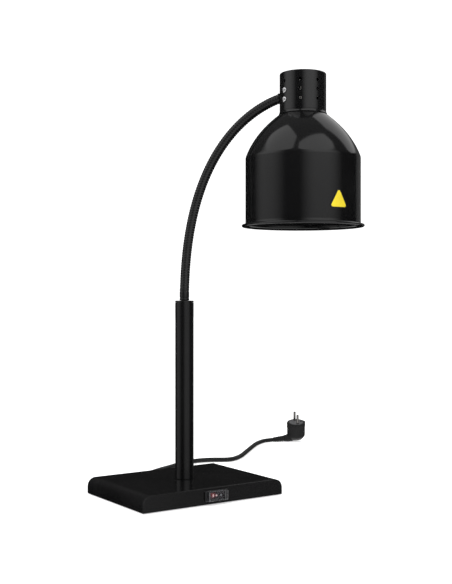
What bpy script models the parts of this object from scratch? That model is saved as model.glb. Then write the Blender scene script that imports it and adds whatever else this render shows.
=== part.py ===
"""Table-top heat lamp warmer: weighted base, column, gooseneck arm and a round metal shade.

Metres, +Z up, table top at z = 0. The origin lies under the centre of the lamp's outer box.
Every object is one piece. Moving pieces hang from an empty that lies on their joint.
"""
import math

import bmesh
import bpy
from mathutils import Matrix, Vector

GAP = 0.0003                     # between pieces that touch

# Base
BASE_WIDTH = 0.239               # along X, the side with the switch
BASE_DEPTH = 0.172               # along Y
BASE_TOP = 0.0243                # height of the top face above the table
BASE_BEND = 0.013                # outer radius of the bent left and right edges
SHEET = 0.0015                   # cover sheet
PANEL = 0.0017                   # end panels
FOOT_RADIUS = 0.007
FOOT_HEIGHT = 0.0025
SKIRT_BOTTOM = 0.0010            # lower edge of the cover and the end panels
FOOT_INSET = (0.018, 0.015)      # from the base's sides to a foot's centre
BOTTOM_SHEET = 0.0012
BALLAST = (0.200, 0.118, 0.008)  # steel plate under the top face
STANDOFF_SPOTS = (0.085, 0.045)  # half spacing of the four stand-offs

# Column
COLUMN_RADIUS = 0.0140
COLUMN_WALL = 0.0012
COLUMN_TOP = 0.2923
CAP_HEIGHT = 0.0027
STUD_RADIUS = 0.005
STUD_BORE = 0.0035

# Gooseneck
ARM_AZIMUTH = math.radians(-45)  # the way the arm leans, from +X
ARM_LENGTH = 0.356               # centreline, from the column's top to the neck
ARM_BENDS = ((28, 1.0), (44, 2.6))  # degrees, and how each share of the bend gathers towards the tip
HOSE_RADIUS = 0.0068
HOSE_WALL = 0.002
HOSE_SEGMENTS = 8
HOSE_JOINT_GAP = 0.0014          # room for one segment to bend against the next
FERRULE_RADIUS = 0.0072
FERRULE_LENGTH = 0.0175

# Head
HEAD_REACH = 0.1795              # from the column's axis to the shade's axis
NECK_RADIUS = 0.03435
NECK_TOP = 0.6275
NECK_BOTTOM = 0.5688
NECK_WALL = 0.0012
NECK_EDGE = 0.003                # round of the neck's top edge
NECK_LIP = 0.026                 # inner radius of the neck's turned-in lip
SHADE_RADIUS = 0.0848
SHADE_WALL = 0.0015
SHADE_COLLAR = 0.024             # radius of the shade's top opening
DOME_RADIUS = 0.033              # where the dome starts
DOME_LENGTH = 0.084              # along the dome's outline
DOME_SLOPES = (37, 70)           # degrees below level, at the dome's top and foot
DOME_POWER = 1.3
FLARE_TOP = 0.4073
RIM_RADIUS = 0.0912
RIM_BOTTOM = 0.4012
HOLE_RADIUS = 0.0023
HOLE_ROWS = (0.6131, 0.5996, 0.5861)
SCREW_ROWS = HOLE_ROWS[1:]
INLET_HEIGHT = 0.5918            # where the arm enters the neck
LABEL_SIZE = (0.029, 0.0265)
LABEL_HEIGHT = 0.4238            # foot of the label
LABEL_TURN = math.radians(-2.5)  # from the shade's front

# Lamp holder and lamp
HOLDER_RADIUS = 0.0225
HOLDER_BOTTOM = 0.5745
HOLDER_TOP = 0.6174
HOLDER_BORE = 0.0139
HOLDER_SEAT = 0.6060             # roof of the holder's bore
STEM_ENDS = (0.6080, 0.6240)
STEM_RADIUS = 0.005
STEM_BORE = 0.003
BRACKET_WIDTH = 0.016
BRACKET_HALF = 0.0318            # from the shade's axis to a leg's outer face
BRACKET_TOP = 0.6193
BRACKET_FOOT = 0.5785
CAP_RADIUS = 0.0132
CAP_FOOT = 0.5775
CAP_TOP = 0.5985
CAP_WALL = 0.001
LAMP_OUTLINE = [                 # radius and height of the glass, from its neck to its face
    (0.0129, 0.5772), (0.0131, 0.5737), (0.0165, 0.5695), (0.0205, 0.5575), (0.0290, 0.5335),
    (0.0400, 0.5155), (0.0510, 0.4985), (0.0595, 0.4805), (0.0625, 0.4645), (0.0605, 0.4505),
    (0.0520, 0.4385), (0.0300, 0.4295), (0.0000, 0.4275),
]
GLASS = 0.0012

# Switch
SWITCH_HEIGHT = 0.0133           # its centre above the table
SWITCH_FLANGE = (0.0384, 0.0018, 0.0155)
SWITCH_BODY = (0.0330, 0.0124)
SWITCH_BACK = 0.0245             # body behind the flange
ROCKER_WELL = (0.0268, 0.0145, 0.0100)
ROCKER_HALF = 0.0122
ROCKER_HEIGHT = 0.0094
ROCKER_TILT = math.radians(7)    # either side of level; drawn pressed on its left side
ROCKER_PIVOT = 0.004             # behind the front panel's face

# Cord and plug
CORD_RADIUS = 0.004
GLAND_HEIGHT = 0.0125
GLAND_LENGTH = 0.022
PLUG_SPOT = (0.4685, 0.3231)     # plug's pin axis, from the base's centre
PLUG_HEADING = math.radians(-20)
PLUG_PITCH = math.radians(-4.5)
PLUG_ROLL = math.radians(14)
PLUG_RADIUS = 0.01825
PLUG_BACK = 0.0060               # from the cord's axis to the plug's back
PLUG_FACE = 0.0325               # from the cord's axis to the pin face
PLUG_CHAMFER = 0.0075
PLUG_AXIS_HEIGHT = 0.0088
PIN_RADIUS = 0.0024
PIN_LENGTH = 0.019
PIN_SPACING = 0.019
RELIEF_RADII = (0.0047, 0.0062)
RELIEF_SPAN = (0.0485, 0.0245)   # from the plug's pin axis, cord end and plug end

# The cord's route over the table, from the gland to the plug, from the base's centre
CORD_ROUTE = [
    (0.0006, 0.1160, 0.0122), (0.0050, 0.1290, 0.0103), (0.0150, 0.1420, 0.0076),
    (0.0340, 0.1590, 0.0052), (0.0613, 0.1774, 0.00415), (0.0896, 0.1917, 0.00405),
    (0.1133, 0.2042, 0.00405), (0.1356, 0.2136, 0.00405), (0.1535, 0.2189, 0.00405),
    (0.1684, 0.2189, 0.00405), (0.1816, 0.2163, 0.00405), (0.1932, 0.2110, 0.00405),
    (0.2036, 0.2039, 0.00405), (0.2160, 0.1985, 0.00405), (0.2310, 0.2010, 0.00405),
    (0.2560, 0.2175, 0.00405), (0.2860, 0.2450, 0.00405), (0.3207, 0.2782, 0.00405),
    (0.3540, 0.3095, 0.00405), (0.3790, 0.3295, 0.0042),
]

SMOOTH_ANGLE = math.radians(35)
HEAD_X = HEAD_REACH * math.cos(ARM_AZIMUTH)
HEAD_Y = HEAD_REACH * math.sin(ARM_AZIMUTH)

# The base's centre, so that the box of base and head is centred on the origin
BASE_X = -(HEAD_X + RIM_RADIUS - BASE_WIDTH / 2) / 2
BASE_Y = -(HEAD_Y - RIM_RADIUS + BASE_DEPTH / 2) / 2

BASE_FLOOR = FOOT_HEIGHT + GAP   # underside of the bottom plate
COVER_UNDER = BASE_TOP - SHEET
BALLAST_TOP = COVER_UNDER - GAP
BALLAST_BOTTOM = BALLAST_TOP - BALLAST[2]
FRONT = -BASE_DEPTH / 2
REAR = BASE_DEPTH / 2


# ---------------------------------------------------------------- helpers

def clear_scene():
    for obj in list(bpy.data.objects):
        bpy.data.objects.remove(obj, do_unlink=True)


def new_collection(name):
    collection = bpy.data.collections.new(name)
    bpy.context.scene.collection.children.link(collection)
    return collection


def material(name, color, roughness, metallic=0.0, alpha=1.0):
    mat = bpy.data.materials.new(name)
    mat.use_nodes = True
    shader = mat.node_tree.nodes["Principled BSDF"]
    shader.inputs["Base Color"].default_value = (*color, 1)
    shader.inputs["Roughness"].default_value = roughness
    shader.inputs["Metallic"].default_value = metallic
    shader.inputs["Alpha"].default_value = alpha
    return mat


def empty(name, parent, location):
    """An empty at a place given from the base's centre; parents are never turned."""
    obj = bpy.data.objects.new(name, None)
    obj.empty_display_size = 0.02
    lamp.objects.link(obj)
    obj.parent = parent
    obj["place"] = location
    obj.location = Vector(location) - place_of(parent)
    return obj


def place_of(obj):
    return Vector(obj["place"]) if obj else Vector((0, 0, 0))


def part(name, mesh, mat, parent, location=(0, 0, 0), rotation=None):
    """A named piece from a mesh; location is given from the base's centre."""
    obj = bpy.data.objects.new(name, mesh)
    lamp.objects.link(obj)
    mesh.materials.clear()
    mesh.materials.append(mat)
    obj.parent = parent
    turn = rotation if rotation else Matrix.Identity(4)
    obj.matrix_local = Matrix.Translation(Vector(location) - place_of(parent)) @ turn
    return obj


def cutter(name, mesh, target_parent, location=(0, 0, 0), rotation=None):
    """A hidden mesh that a Boolean takes away from a piece."""
    obj = bpy.data.objects.new(name, mesh)
    cutters.objects.link(obj)
    obj.parent = target_parent
    turn = rotation if rotation else Matrix.Identity(4)
    obj.matrix_local = Matrix.Translation(Vector(location) - place_of(target_parent)) @ turn
    obj.hide_render = True
    obj.display_type = "WIRE"
    return obj


def boolean(obj, other, operation="DIFFERENCE"):
    mod = obj.modifiers.new(operation.title(), "BOOLEAN")
    mod.operation = operation
    mod.solver = "EXACT"
    mod.object = other


def solidify(obj, thickness, offset=-1.0):
    mod = obj.modifiers.new("Solidify", "SOLIDIFY")
    mod.thickness = thickness
    mod.offset = offset
    mod.use_even_offset = True


def bevel(obj, width, segments=1, angle=math.radians(40)):
    mod = obj.modifiers.new("Bevel", "BEVEL")
    mod.width = width
    mod.segments = segments
    mod.limit_method = "ANGLE"
    mod.angle_limit = angle
    mod.harden_normals = False


def finish_mesh(bm, name):
    bmesh.ops.recalc_face_normals(bm, faces=bm.faces)
    mesh = bpy.data.meshes.new(name)
    bm.to_mesh(mesh)
    bm.free()
    mesh.shade_smooth()
    mesh.set_sharp_from_angle(angle=SMOOTH_ANGLE)
    return mesh


def box_mesh(name, size, centre=(0, 0, 0)):
    bm = bmesh.new()
    bmesh.ops.create_cube(bm, size=1.0)
    bmesh.ops.scale(bm, vec=size, verts=bm.verts)
    bmesh.ops.translate(bm, vec=centre, verts=bm.verts)
    return finish_mesh(bm, name)


def rod_mesh(name, radius, length, sides=24, spots=((0, 0, 0),), radius_end=None):
    """Cylinders or cones along +Z, one at each spot, each starting at its spot."""
    bm = bmesh.new()
    end = radius if radius_end is None else radius_end
    for spot in spots:
        shift = Matrix.Translation(Vector(spot) + Vector((0, 0, length / 2)))
        bmesh.ops.create_cone(bm, cap_ends=True, segments=sides, radius1=radius,
                              radius2=end, depth=length, matrix=shift)
    return finish_mesh(bm, name)


def profile_mesh(name, outline, closed):
    """Edges through (radius, height) points, for a Screw modifier."""
    points = [(radius, 0.0, height) for radius, height in outline]
    edges = [(i, i + 1) for i in range(len(points) - 1)]
    if closed:
        edges.append((len(points) - 1, 0))
    mesh = bpy.data.meshes.new(name)
    mesh.from_pydata(points, edges, [])
    return mesh


def turned(name, outline, mat, parent, location=(0, 0, 0), rotation=None,
           closed=False, steps=32):
    """A turned piece: the outline runs down its outer side, then up its bore."""
    obj = part(name, profile_mesh(name, outline, closed), mat, parent, location, rotation)
    mod = obj.modifiers.new("Screw", "SCREW")
    mod.steps = steps
    mod.render_steps = steps
    mod.use_merge_vertices = True
    mod.merge_threshold = 0.00001
    mod.use_smooth_shade = True
    return obj


def outline_mesh(name, points, thickness):
    """A flat plate in the XY plane from a closed outline, centred on z = 0."""
    curve = bpy.data.curves.new(name, "CURVE")
    curve.dimensions = "2D"
    curve.fill_mode = "BOTH"
    curve.extrude = thickness / 2
    spline = curve.splines.new("POLY")
    spline.points.add(len(points) - 1)
    for spot, (x, y) in zip(spline.points, points):
        spot.co = (x, y, 0, 1)
    spline.use_cyclic_u = True
    return curve_to_mesh(name, curve)


def curve_to_mesh(name, curve):
    """Turn a curve into a closed mesh with welded caps."""
    guide = bpy.data.objects.new(name + "_guide", curve)
    bpy.context.scene.collection.objects.link(guide)
    graph = bpy.context.evaluated_depsgraph_get()
    mesh = bpy.data.meshes.new_from_object(guide.evaluated_get(graph))
    bpy.data.objects.remove(guide, do_unlink=True)
    bpy.data.curves.remove(curve)
    bm = bmesh.new()
    bm.from_mesh(mesh)
    bmesh.ops.remove_doubles(bm, verts=bm.verts, dist=0.00001)
    bpy.data.meshes.remove(mesh)
    return finish_mesh(bm, name)


def tube_curve(name, points, radius, caps, resolution):
    curve = bpy.data.curves.new(name, "CURVE")
    curve.dimensions = "3D"
    curve.bevel_depth = radius
    curve.bevel_resolution = resolution
    curve.use_fill_caps = caps
    spline = curve.splines.new("POLY")
    spline.points.add(len(points) - 1)
    for spot, point in zip(spline.points, points):
        spot.co = (*point, 1)
    return curve


def along(direction):
    """Rotation that takes +Z to a direction."""
    return Vector(direction).to_track_quat("Z", "Y").to_matrix().to_4x4()


def hexagon(across_flats):
    radius = across_flats / math.sqrt(3)
    return [(radius * math.cos(math.radians(60 * i)), radius * math.sin(math.radians(60 * i)))
            for i in range(6)]


def hex_nut(name, across_flats, height, bore, mat, parent, location, rotation=None):
    nut = part(name, outline_mesh(name, hexagon(across_flats), height), mat, parent,
               location, rotation)
    hole = cutter(name + "_bore", rod_mesh(name + "_bore", bore, height * 2, 16,
                                           ((0, 0, -height),)), parent, location, rotation)
    boolean(nut, hole)
    return nut


def pan_screw_outline(head_radius, head_height, shank_radius, shank_length):
    """Domed head above z = 0 and shank below it."""
    dome = [(head_radius * math.sin(math.radians(a)), head_height * math.cos(math.radians(a)))
            for a in (0, 30, 55, 75)]
    return dome + [(head_radius, 0.0), (shank_radius, 0.0), (shank_radius, -shank_length),
                   (0.0, -shank_length)]


# ---------------------------------------------------------------- base

def base_outline():
    """End view of the base as (x, z), from the left foot over the top to the right foot."""
    half = BASE_WIDTH / 2
    points = [(-half, SKIRT_BOTTOM)]
    for side in (-1, 1):
        angles = range(180, 89, -15) if side < 0 else range(90, -1, -15)
        for angle in angles:
            a = math.radians(angle)
            points.append((side * (half - BASE_BEND) + BASE_BEND * math.cos(a),
                           BASE_TOP - BASE_BEND + BASE_BEND * math.sin(a)))
    points.append((half, SKIRT_BOTTOM))
    return points


def make_cover():
    """The bent top sheet, open below and at both ends."""
    length = BASE_DEPTH - 2 * (PANEL + GAP)
    bm = bmesh.new()
    rows = []
    for y in (-length / 2, length / 2):
        rows.append([bm.verts.new((x, y, z)) for x, z in base_outline()])
    for i in range(len(rows[0]) - 1):
        bm.faces.new((rows[0][i], rows[1][i], rows[1][i + 1], rows[0][i + 1]))
    mesh = bpy.data.meshes.new("base_cover")
    bm.to_mesh(mesh)
    bm.free()
    mesh.shade_smooth()
    mesh.set_sharp_from_angle(angle=SMOOTH_ANGLE)
    cover = part("base_cover", mesh, black_gloss, root)
    solidify(cover, SHEET, offset=-1.0 if mesh.polygons[0].normal.x < 0 else 1.0)
    boolean(cover, cutter("cover_hole", rod_mesh("cover_hole", STUD_RADIUS + GAP, 0.02, 20),
                          root, (0, 0, BASE_TOP - 0.01)))


def make_end_panel(name, y):
    """A flat end plate with rounded upper corners, standing at y."""
    stand = Matrix.Rotation(math.radians(90), 4, "X")
    return part(name, outline_mesh(name, base_outline(), PANEL), black_satin, root, (0, y, 0), stand)


def make_base():
    make_cover()
    front = make_end_panel("front_panel", FRONT + PANEL / 2)
    rear = make_end_panel("rear_panel", REAR - PANEL / 2)
    opening = (SWITCH_BODY[0] + 2 * GAP, 0.01, SWITCH_BODY[1] + 2 * GAP)
    boolean(front, cutter("switch_opening", box_mesh("switch_opening", opening), root,
                          (0, FRONT, SWITCH_HEIGHT)))
    boolean(rear, cutter("gland_hole", rod_mesh("gland_hole", 0.0063, 0.01, 20), root,
                         (0, REAR - 0.005, GLAND_HEIGHT), along((0, 1, 0))))

    plate_size = (BASE_WIDTH - 2 * (SHEET + GAP), BASE_DEPTH - 2 * (PANEL + 2 * GAP), BOTTOM_SHEET)
    spots = [(sx * STANDOFF_SPOTS[0], sy * STANDOFF_SPOTS[1], 0) for sx in (-1, 1) for sy in (-1, 1)]
    bottom = part("bottom_plate", box_mesh("bottom_plate", plate_size), dark_steel, root,
                  (0, 0, BASE_FLOOR + BOTTOM_SHEET / 2))
    boolean(bottom, cutter("bottom_holes", rod_mesh("bottom_holes", 0.0017, 0.01, 12, spots), root))

    ballast = part("ballast_plate", box_mesh("ballast_plate", BALLAST), dark_steel, root,
                   (0, 0.001, BALLAST_TOP - BALLAST[2] / 2))
    holes = cutter("ballast_holes", rod_mesh("ballast_holes", 0.002, 0.02, 12, spots), root,
                   (0, 0, 0.005))
    centre = cutter("ballast_centre", rod_mesh("ballast_centre", STUD_RADIUS + GAP, 0.02, 20), root,
                    (0, 0, 0.005))
    boolean(ballast, holes)
    boolean(ballast, centre)

    plate_top = BASE_FLOOR + BOTTOM_SHEET
    standoff = [(0, 0.0185), (0.0017, 0.0185), (0.0017, BALLAST_BOTTOM - GAP),
                (0.0032, BALLAST_BOTTOM - GAP), (0.0032, plate_top + GAP),
                (0.0017, plate_top + GAP), (0.0017, 0.011), (0, 0.011)]
    screw = pan_screw_outline(0.003, 0.0016, 0.0013, 0.0078)
    flip = Matrix.Rotation(math.pi, 4, "X")
    for number, (x, y, _) in enumerate(spots, 1):
        turned(f"standoff_{number}", standoff, steel, root, (x, y, 0), steps=12)
        turned(f"base_screw_{number}", screw, steel, root, (x, y, BASE_FLOOR - GAP / 2), flip, steps=12)

    foot = [(0, FOOT_HEIGHT), (FOOT_RADIUS, FOOT_HEIGHT), (FOOT_RADIUS, 0.0012),
            (FOOT_RADIUS - 0.001, 0), (0, 0)]
    for name, sx, sy in (("foot_front_left", -1, -1), ("foot_front_right", 1, -1),
                         ("foot_rear_left", -1, 1), ("foot_rear_right", 1, 1)):
        turned(name, foot, rubber, root, (sx * (BASE_WIDTH / 2 - FOOT_INSET[0]),
                                          sy * (BASE_DEPTH / 2 - FOOT_INSET[1]), 0), steps=24)

    block = part("terminal_block", box_mesh("terminal_block", (0.030, 0.014, 0.012)), white_plastic,
                 root, (-0.055, 0.074, plate_top + GAP + 0.006))
    bevel(block, 0.0008)


# ---------------------------------------------------------------- column

def make_column():
    inner = COLUMN_RADIUS - COLUMN_WALL
    foot = BASE_TOP + GAP
    tube_top = COLUMN_TOP - CAP_HEIGHT - GAP
    turned("column_tube", [(COLUMN_RADIUS, tube_top), (COLUMN_RADIUS, foot), (inner, foot),
                           (inner, tube_top)], black_gloss, root, closed=True, steps=32)
    insert = inner - GAP
    bore = STUD_RADIUS + GAP
    turned("column_insert", [(insert, foot + 0.015), (insert, foot), (bore, foot),
                             (bore, foot + 0.015)], steel, root, closed=True, steps=24)
    turned("column_stud", [(STUD_RADIUS, foot + 0.013), (STUD_RADIUS, 0.0046), (STUD_BORE, 0.0046),
                           (STUD_BORE, foot + 0.013)], steel, root, closed=True, steps=20)
    hex_nut("column_nut", 0.017, 0.0055, bore, steel, root, (0, 0, BALLAST_BOTTOM - GAP - 0.00275))
    cap_bore = 0.0052
    turned("column_cap", [(cap_bore, COLUMN_TOP), (COLUMN_RADIUS - 0.0008, COLUMN_TOP),
                          (COLUMN_RADIUS, COLUMN_TOP - 0.0008), (COLUMN_RADIUS, COLUMN_TOP - CAP_HEIGHT),
                          (insert, COLUMN_TOP - CAP_HEIGHT), (insert, COLUMN_TOP - 0.018),
                          (cap_bore, COLUMN_TOP - 0.018)], black_gloss, root, closed=True, steps=28)


# ---------------------------------------------------------------- gooseneck

def arm_heading(distance):
    """Angle above level of the arm's centreline, a distance up from the column's top."""
    bend = sum(degrees * (distance / ARM_LENGTH) ** power for degrees, power in ARM_BENDS)
    return math.radians(90 - bend)


def arm_point(distance):
    """Centreline point from the base's centre: small steps along the heading."""
    steps = 200
    step = distance / steps
    reach = 0.0
    height = COLUMN_TOP
    for i in range(steps):
        angle = arm_heading((i + 0.5) * step)
        reach += step * math.cos(angle)
        height += step * math.sin(angle)
    return Vector((reach * math.cos(ARM_AZIMUTH), reach * math.sin(ARM_AZIMUTH), height))


def segment_marks():
    """Distances along the arm where the segments meet."""
    start = FERRULE_LENGTH + GAP
    pitch = (ARM_LENGTH - start) / HOSE_SEGMENTS
    return [start + i * pitch for i in range(HOSE_SEGMENTS + 1)]


def make_hose():
    """Ferrule and hose segments; returns the empty that carries the head."""
    foot = COLUMN_TOP + GAP
    swivel = empty("arm_swivel", root, (0, 0, foot))
    top = COLUMN_TOP + FERRULE_LENGTH
    bore = 0.0032
    turned("hose_ferrule", [(bore, top), (FERRULE_RADIUS - 0.0007, top), (FERRULE_RADIUS, top - 0.0007),
                            (FERRULE_RADIUS, foot + 0.0005), (FERRULE_RADIUS - 0.0005, foot),
                            (0.0049, foot), (0.0049, foot - 0.015), (bore, foot - 0.015)],
           black_satin, swivel, closed=True, steps=24)
    marks = segment_marks()
    parent = swivel
    for number in range(HOSE_SEGMENTS):
        if number:
            parent = empty(f"bend_{number}", parent, arm_point(marks[number]))
        first = marks[number] + (HOSE_JOINT_GAP / 2 if number else 0)
        last = marks[number + 1] - (HOSE_JOINT_GAP / 2 if number < HOSE_SEGMENTS - 1 else 0)
        make_segment(f"hose_segment_{number + 1}", first, last, parent)
    return parent


def make_segment(name, first, last, parent):
    points = [arm_point(first + (last - first) * i / 3) - place_of(parent) for i in range(4)]
    curve = tube_curve(name, points, HOSE_RADIUS, caps=False, resolution=2)
    segment = part(name, curve_to_mesh(name, curve), black_satin, parent, place_of(parent))
    solidify(segment, HOSE_WALL)
    if name.endswith(str(HOSE_SEGMENTS)):
        depth = 0.02
        spot = inlet_point(NECK_RADIUS + 0.003 + 2 * GAP)
        boolean(segment, cutter("segment_trim", rod_mesh("segment_trim", 0.02, depth), parent, spot,
                                along(arm_direction())))


def arm_direction():
    return Vector((math.cos(ARM_AZIMUTH), math.sin(ARM_AZIMUTH), 0))


def inlet_point(radius):
    """A point on the inlet's axis, a radius out from the shade's axis towards the column."""
    return Vector((HEAD_X, HEAD_Y, INLET_HEIGHT)) - radius * arm_direction()


# ---------------------------------------------------------------- head

def make_inlet(head):
    """Collar outside the neck with its threaded stub, and the nut on it inside."""
    thickness = 0.0027
    stub = 0.0059
    bore = 0.0035
    length = 0.0117
    flange = 0.0078
    collar = [(bore, 0), (stub, 0), (stub, -length), (flange, -length), (flange, -length - thickness),
              (bore, -length - thickness)]
    tip = inlet_point(NECK_RADIUS + GAP - length)
    turned("hose_collar", collar, black_satin, head, tip, along(arm_direction()), closed=True, steps=24)
    nut_spot = inlet_point(0.0293)
    hex_nut("hose_lock_nut", 0.017, 0.004, stub + GAP, steel, head, nut_spot, along(arm_direction()))


def neck_outline():
    points = [(0, NECK_TOP)]
    for angle in range(90, -1, -30):
        a = math.radians(angle)
        points.append((NECK_RADIUS - NECK_EDGE + NECK_EDGE * math.cos(a),
                       NECK_TOP - NECK_EDGE + NECK_EDGE * math.sin(a)))
    inner = NECK_RADIUS - NECK_WALL
    points += [(NECK_RADIUS, NECK_BOTTOM), (NECK_LIP, NECK_BOTTOM), (NECK_LIP, NECK_BOTTOM + NECK_WALL),
               (inner, NECK_BOTTOM + NECK_WALL)]
    edge = NECK_EDGE - NECK_WALL
    for angle in range(0, 91, 45):
        a = math.radians(angle)
        points.append((inner - edge + edge * math.cos(a), NECK_TOP - NECK_EDGE + edge * math.sin(a)))
    return points + [(0, NECK_TOP - NECK_WALL)]


def vent_spots():
    """Azimuth and height of each vent hole: eight columns of three, less the arm's and the screws'."""
    spots = []
    for column in range(8):
        for row in HOLE_ROWS:
            taken = column in (0, 3, 4) and row in SCREW_ROWS
            if not taken:
                spots.append((math.radians(45 * column), row))
    return spots


def radial_cutter(name, radius, spots, sides, head):
    """Cylinders through the neck's wall at (azimuth, height) spots."""
    bm = bmesh.new()
    for azimuth, height in spots:
        direction = Vector((math.cos(azimuth), math.sin(azimuth), 0))
        middle = direction * (NECK_RADIUS - NECK_WALL / 2) + Vector((0, 0, height))
        bmesh.ops.create_cone(bm, cap_ends=True, segments=sides, radius1=radius, radius2=radius,
                              depth=0.008, matrix=Matrix.Translation(middle) @ along(direction))
    return cutter(name, finish_mesh(bm, name), head, (HEAD_X, HEAD_Y, 0))


def make_neck(head):
    axis = (HEAD_X, HEAD_Y, 0)
    neck = turned("neck_housing", neck_outline(), black_gloss, head, axis, steps=40)
    screw_spots = [(azimuth, row) for azimuth in (0, math.pi) for row in SCREW_ROWS]
    boolean(neck, radial_cutter("vent_holes", HOLE_RADIUS, vent_spots(), 8, head))
    boolean(neck, radial_cutter("screw_holes", 0.0028, screw_spots, 12, head))
    boolean(neck, radial_cutter("inlet_hole", 0.0062, [(ARM_AZIMUTH + math.pi, INLET_HEIGHT)], 20, head))
    lip_spots = shade_screw_spots()
    boolean(neck, cutter("lip_holes", rod_mesh("lip_holes", 0.0017, 0.005, 12, lip_spots), head,
                         (HEAD_X, HEAD_Y, NECK_BOTTOM - 0.002)))

    outline = pan_screw_outline(0.0042, 0.0026, 0.0024, 0.0076)
    for number, (azimuth, row) in enumerate(screw_spots, 1):
        direction = Vector((math.cos(azimuth), math.sin(azimuth), 0))
        spot = Vector(axis) + direction * (NECK_RADIUS + GAP) + Vector((0, 0, row))
        turned(f"neck_screw_{number}", outline, chrome, head, spot, along(direction), steps=20)


def shade_screw_spots():
    return [(0.0285 * math.cos(math.radians(a)), 0.0285 * math.sin(math.radians(a)), 0)
            for a in (45, 165, 285)]


def shade_outline():
    """Outer surface of the shade: flat top collar, dome, straight wall, flared rim."""
    top = NECK_BOTTOM - GAP
    points = [(SHADE_COLLAR, top), (DOME_RADIUS - 0.0012, top), (DOME_RADIUS, top - 0.0004)]
    radius, height = points[-1]
    steps = 9
    step = DOME_LENGTH / steps
    for i in range(steps):
        slope = DOME_SLOPES[0] + (DOME_SLOPES[1] - DOME_SLOPES[0]) * ((i + 0.5) / steps) ** DOME_POWER
        radius += step * math.cos(math.radians(slope))
        height -= step * math.sin(math.radians(slope))
        points.append((radius, height))
    points += [(SHADE_RADIUS, height - 0.0012), (SHADE_RADIUS, FLARE_TOP)]
    flare = Vector((RIM_RADIUS - SHADE_RADIUS, RIM_BOTTOM - FLARE_TOP))
    points += [(SHADE_RADIUS + flare.x * 0.12, FLARE_TOP + flare.y * 0.32),
               (SHADE_RADIUS + flare.x * 0.42, FLARE_TOP + flare.y * 0.62),
               (RIM_RADIUS - 0.0004, RIM_BOTTOM + 0.0006), (RIM_RADIUS, RIM_BOTTOM)]
    return points


def make_shade(head):
    axis = (HEAD_X, HEAD_Y, 0)
    shade = turned("shade", shade_outline(), black_gloss, head, axis, steps=44)
    solidify(shade, SHADE_WALL)
    boolean(shade, cutter("collar_holes", rod_mesh("collar_holes", 0.0017, 0.006, 12, shade_screw_spots()),
                          head, (HEAD_X, HEAD_Y, NECK_BOTTOM - 0.004)))
    collar_under = NECK_BOTTOM - GAP - SHADE_WALL
    outline = pan_screw_outline(0.0024, 0.0018, 0.0014, 0.0058)
    flip = Matrix.Rotation(math.pi, 4, "X")
    for number, (x, y, _) in enumerate(shade_screw_spots(), 1):
        turned(f"shade_screw_{number}", outline, steel, head, (HEAD_X + x, HEAD_Y + y, collar_under - GAP),
               flip, steps=12)


def make_label(head):
    """A plain thin plate that follows the shade's wall, on its front."""
    name = "label_plate"
    inner = SHADE_RADIUS + GAP
    height = LABEL_SIZE[1] + 0.006
    ring = [(inner + 0.0005, LABEL_HEIGHT + height), (inner + 0.0005, LABEL_HEIGHT - 0.006),
            (inner, LABEL_HEIGHT - 0.006), (inner, LABEL_HEIGHT + height)]
    label = turned(name, ring, yellow, head, (HEAD_X, HEAD_Y, 0), closed=True, steps=120)
    stand = Matrix.Rotation(LABEL_TURN, 4, "Z") @ Matrix.Rotation(math.radians(90), 4, "X")
    spot = (HEAD_X + SHADE_RADIUS * math.sin(LABEL_TURN), HEAD_Y - SHADE_RADIUS * math.cos(LABEL_TURN))
    shape = cutter("label_shape", outline_mesh("label_shape", label_outline(), 0.02), head,
                   (*spot, LABEL_HEIGHT), stand)
    boolean(label, shape, "INTERSECT")


def label_outline():
    """A triangle standing on its base, corners rounded, drawn as three arcs."""
    width, height = LABEL_SIZE
    radius = 0.0028
    half = width / 2 - radius
    rise = height - radius
    lean = math.degrees(math.atan2(rise - radius, half))
    arcs = [((-half, radius), 90 + lean, 270), ((half, radius), -90, 90 - lean),
            ((0, rise), 90 - lean, 90 + lean)]
    points = []
    for (x, y), first, last in arcs:
        for i in range(5):
            a = math.radians(first + (last - first) * i / 4)
            points.append((x + radius * math.cos(a), y + radius * math.sin(a)))
    return points


def make_bracket(head):
    """A strap across the neck with a leg on each side, held by the neck's four screws."""
    half = BRACKET_HALF
    bend = 0.003
    path = [(-half, BRACKET_FOOT), (-half, BRACKET_TOP - bend), (-half + bend, BRACKET_TOP),
            (half - bend, BRACKET_TOP), (half, BRACKET_TOP - bend), (half, BRACKET_FOOT)]
    bm = bmesh.new()
    rows = [[bm.verts.new((x, y, z)) for x, z in path] for y in (-BRACKET_WIDTH / 2, BRACKET_WIDTH / 2)]
    for i in range(len(path) - 1):
        bm.faces.new((rows[0][i], rows[1][i], rows[1][i + 1], rows[0][i + 1]))
    mesh = bpy.data.meshes.new("holder_bracket")
    bm.to_mesh(mesh)
    bm.free()
    bracket = part("holder_bracket", mesh, steel, head, (HEAD_X, HEAD_Y, 0))
    solidify(bracket, SHEET, offset=-1.0 if mesh.polygons[0].normal.x < 0 else 1.0)
    across = rod_mesh("bracket_screw_holes", 0.0028, 0.08, 12,
                      [(0, row, -0.04) for row in SCREW_ROWS])
    boolean(bracket, cutter("bracket_screw_holes", across, head, (HEAD_X, HEAD_Y, 0), along((1, 0, 0))))
    boolean(bracket, cutter("bracket_stem_hole", rod_mesh("bracket_stem_hole", 0.0053, 0.02, 16), head,
                            (HEAD_X, HEAD_Y, BRACKET_TOP - 0.01)))


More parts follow.
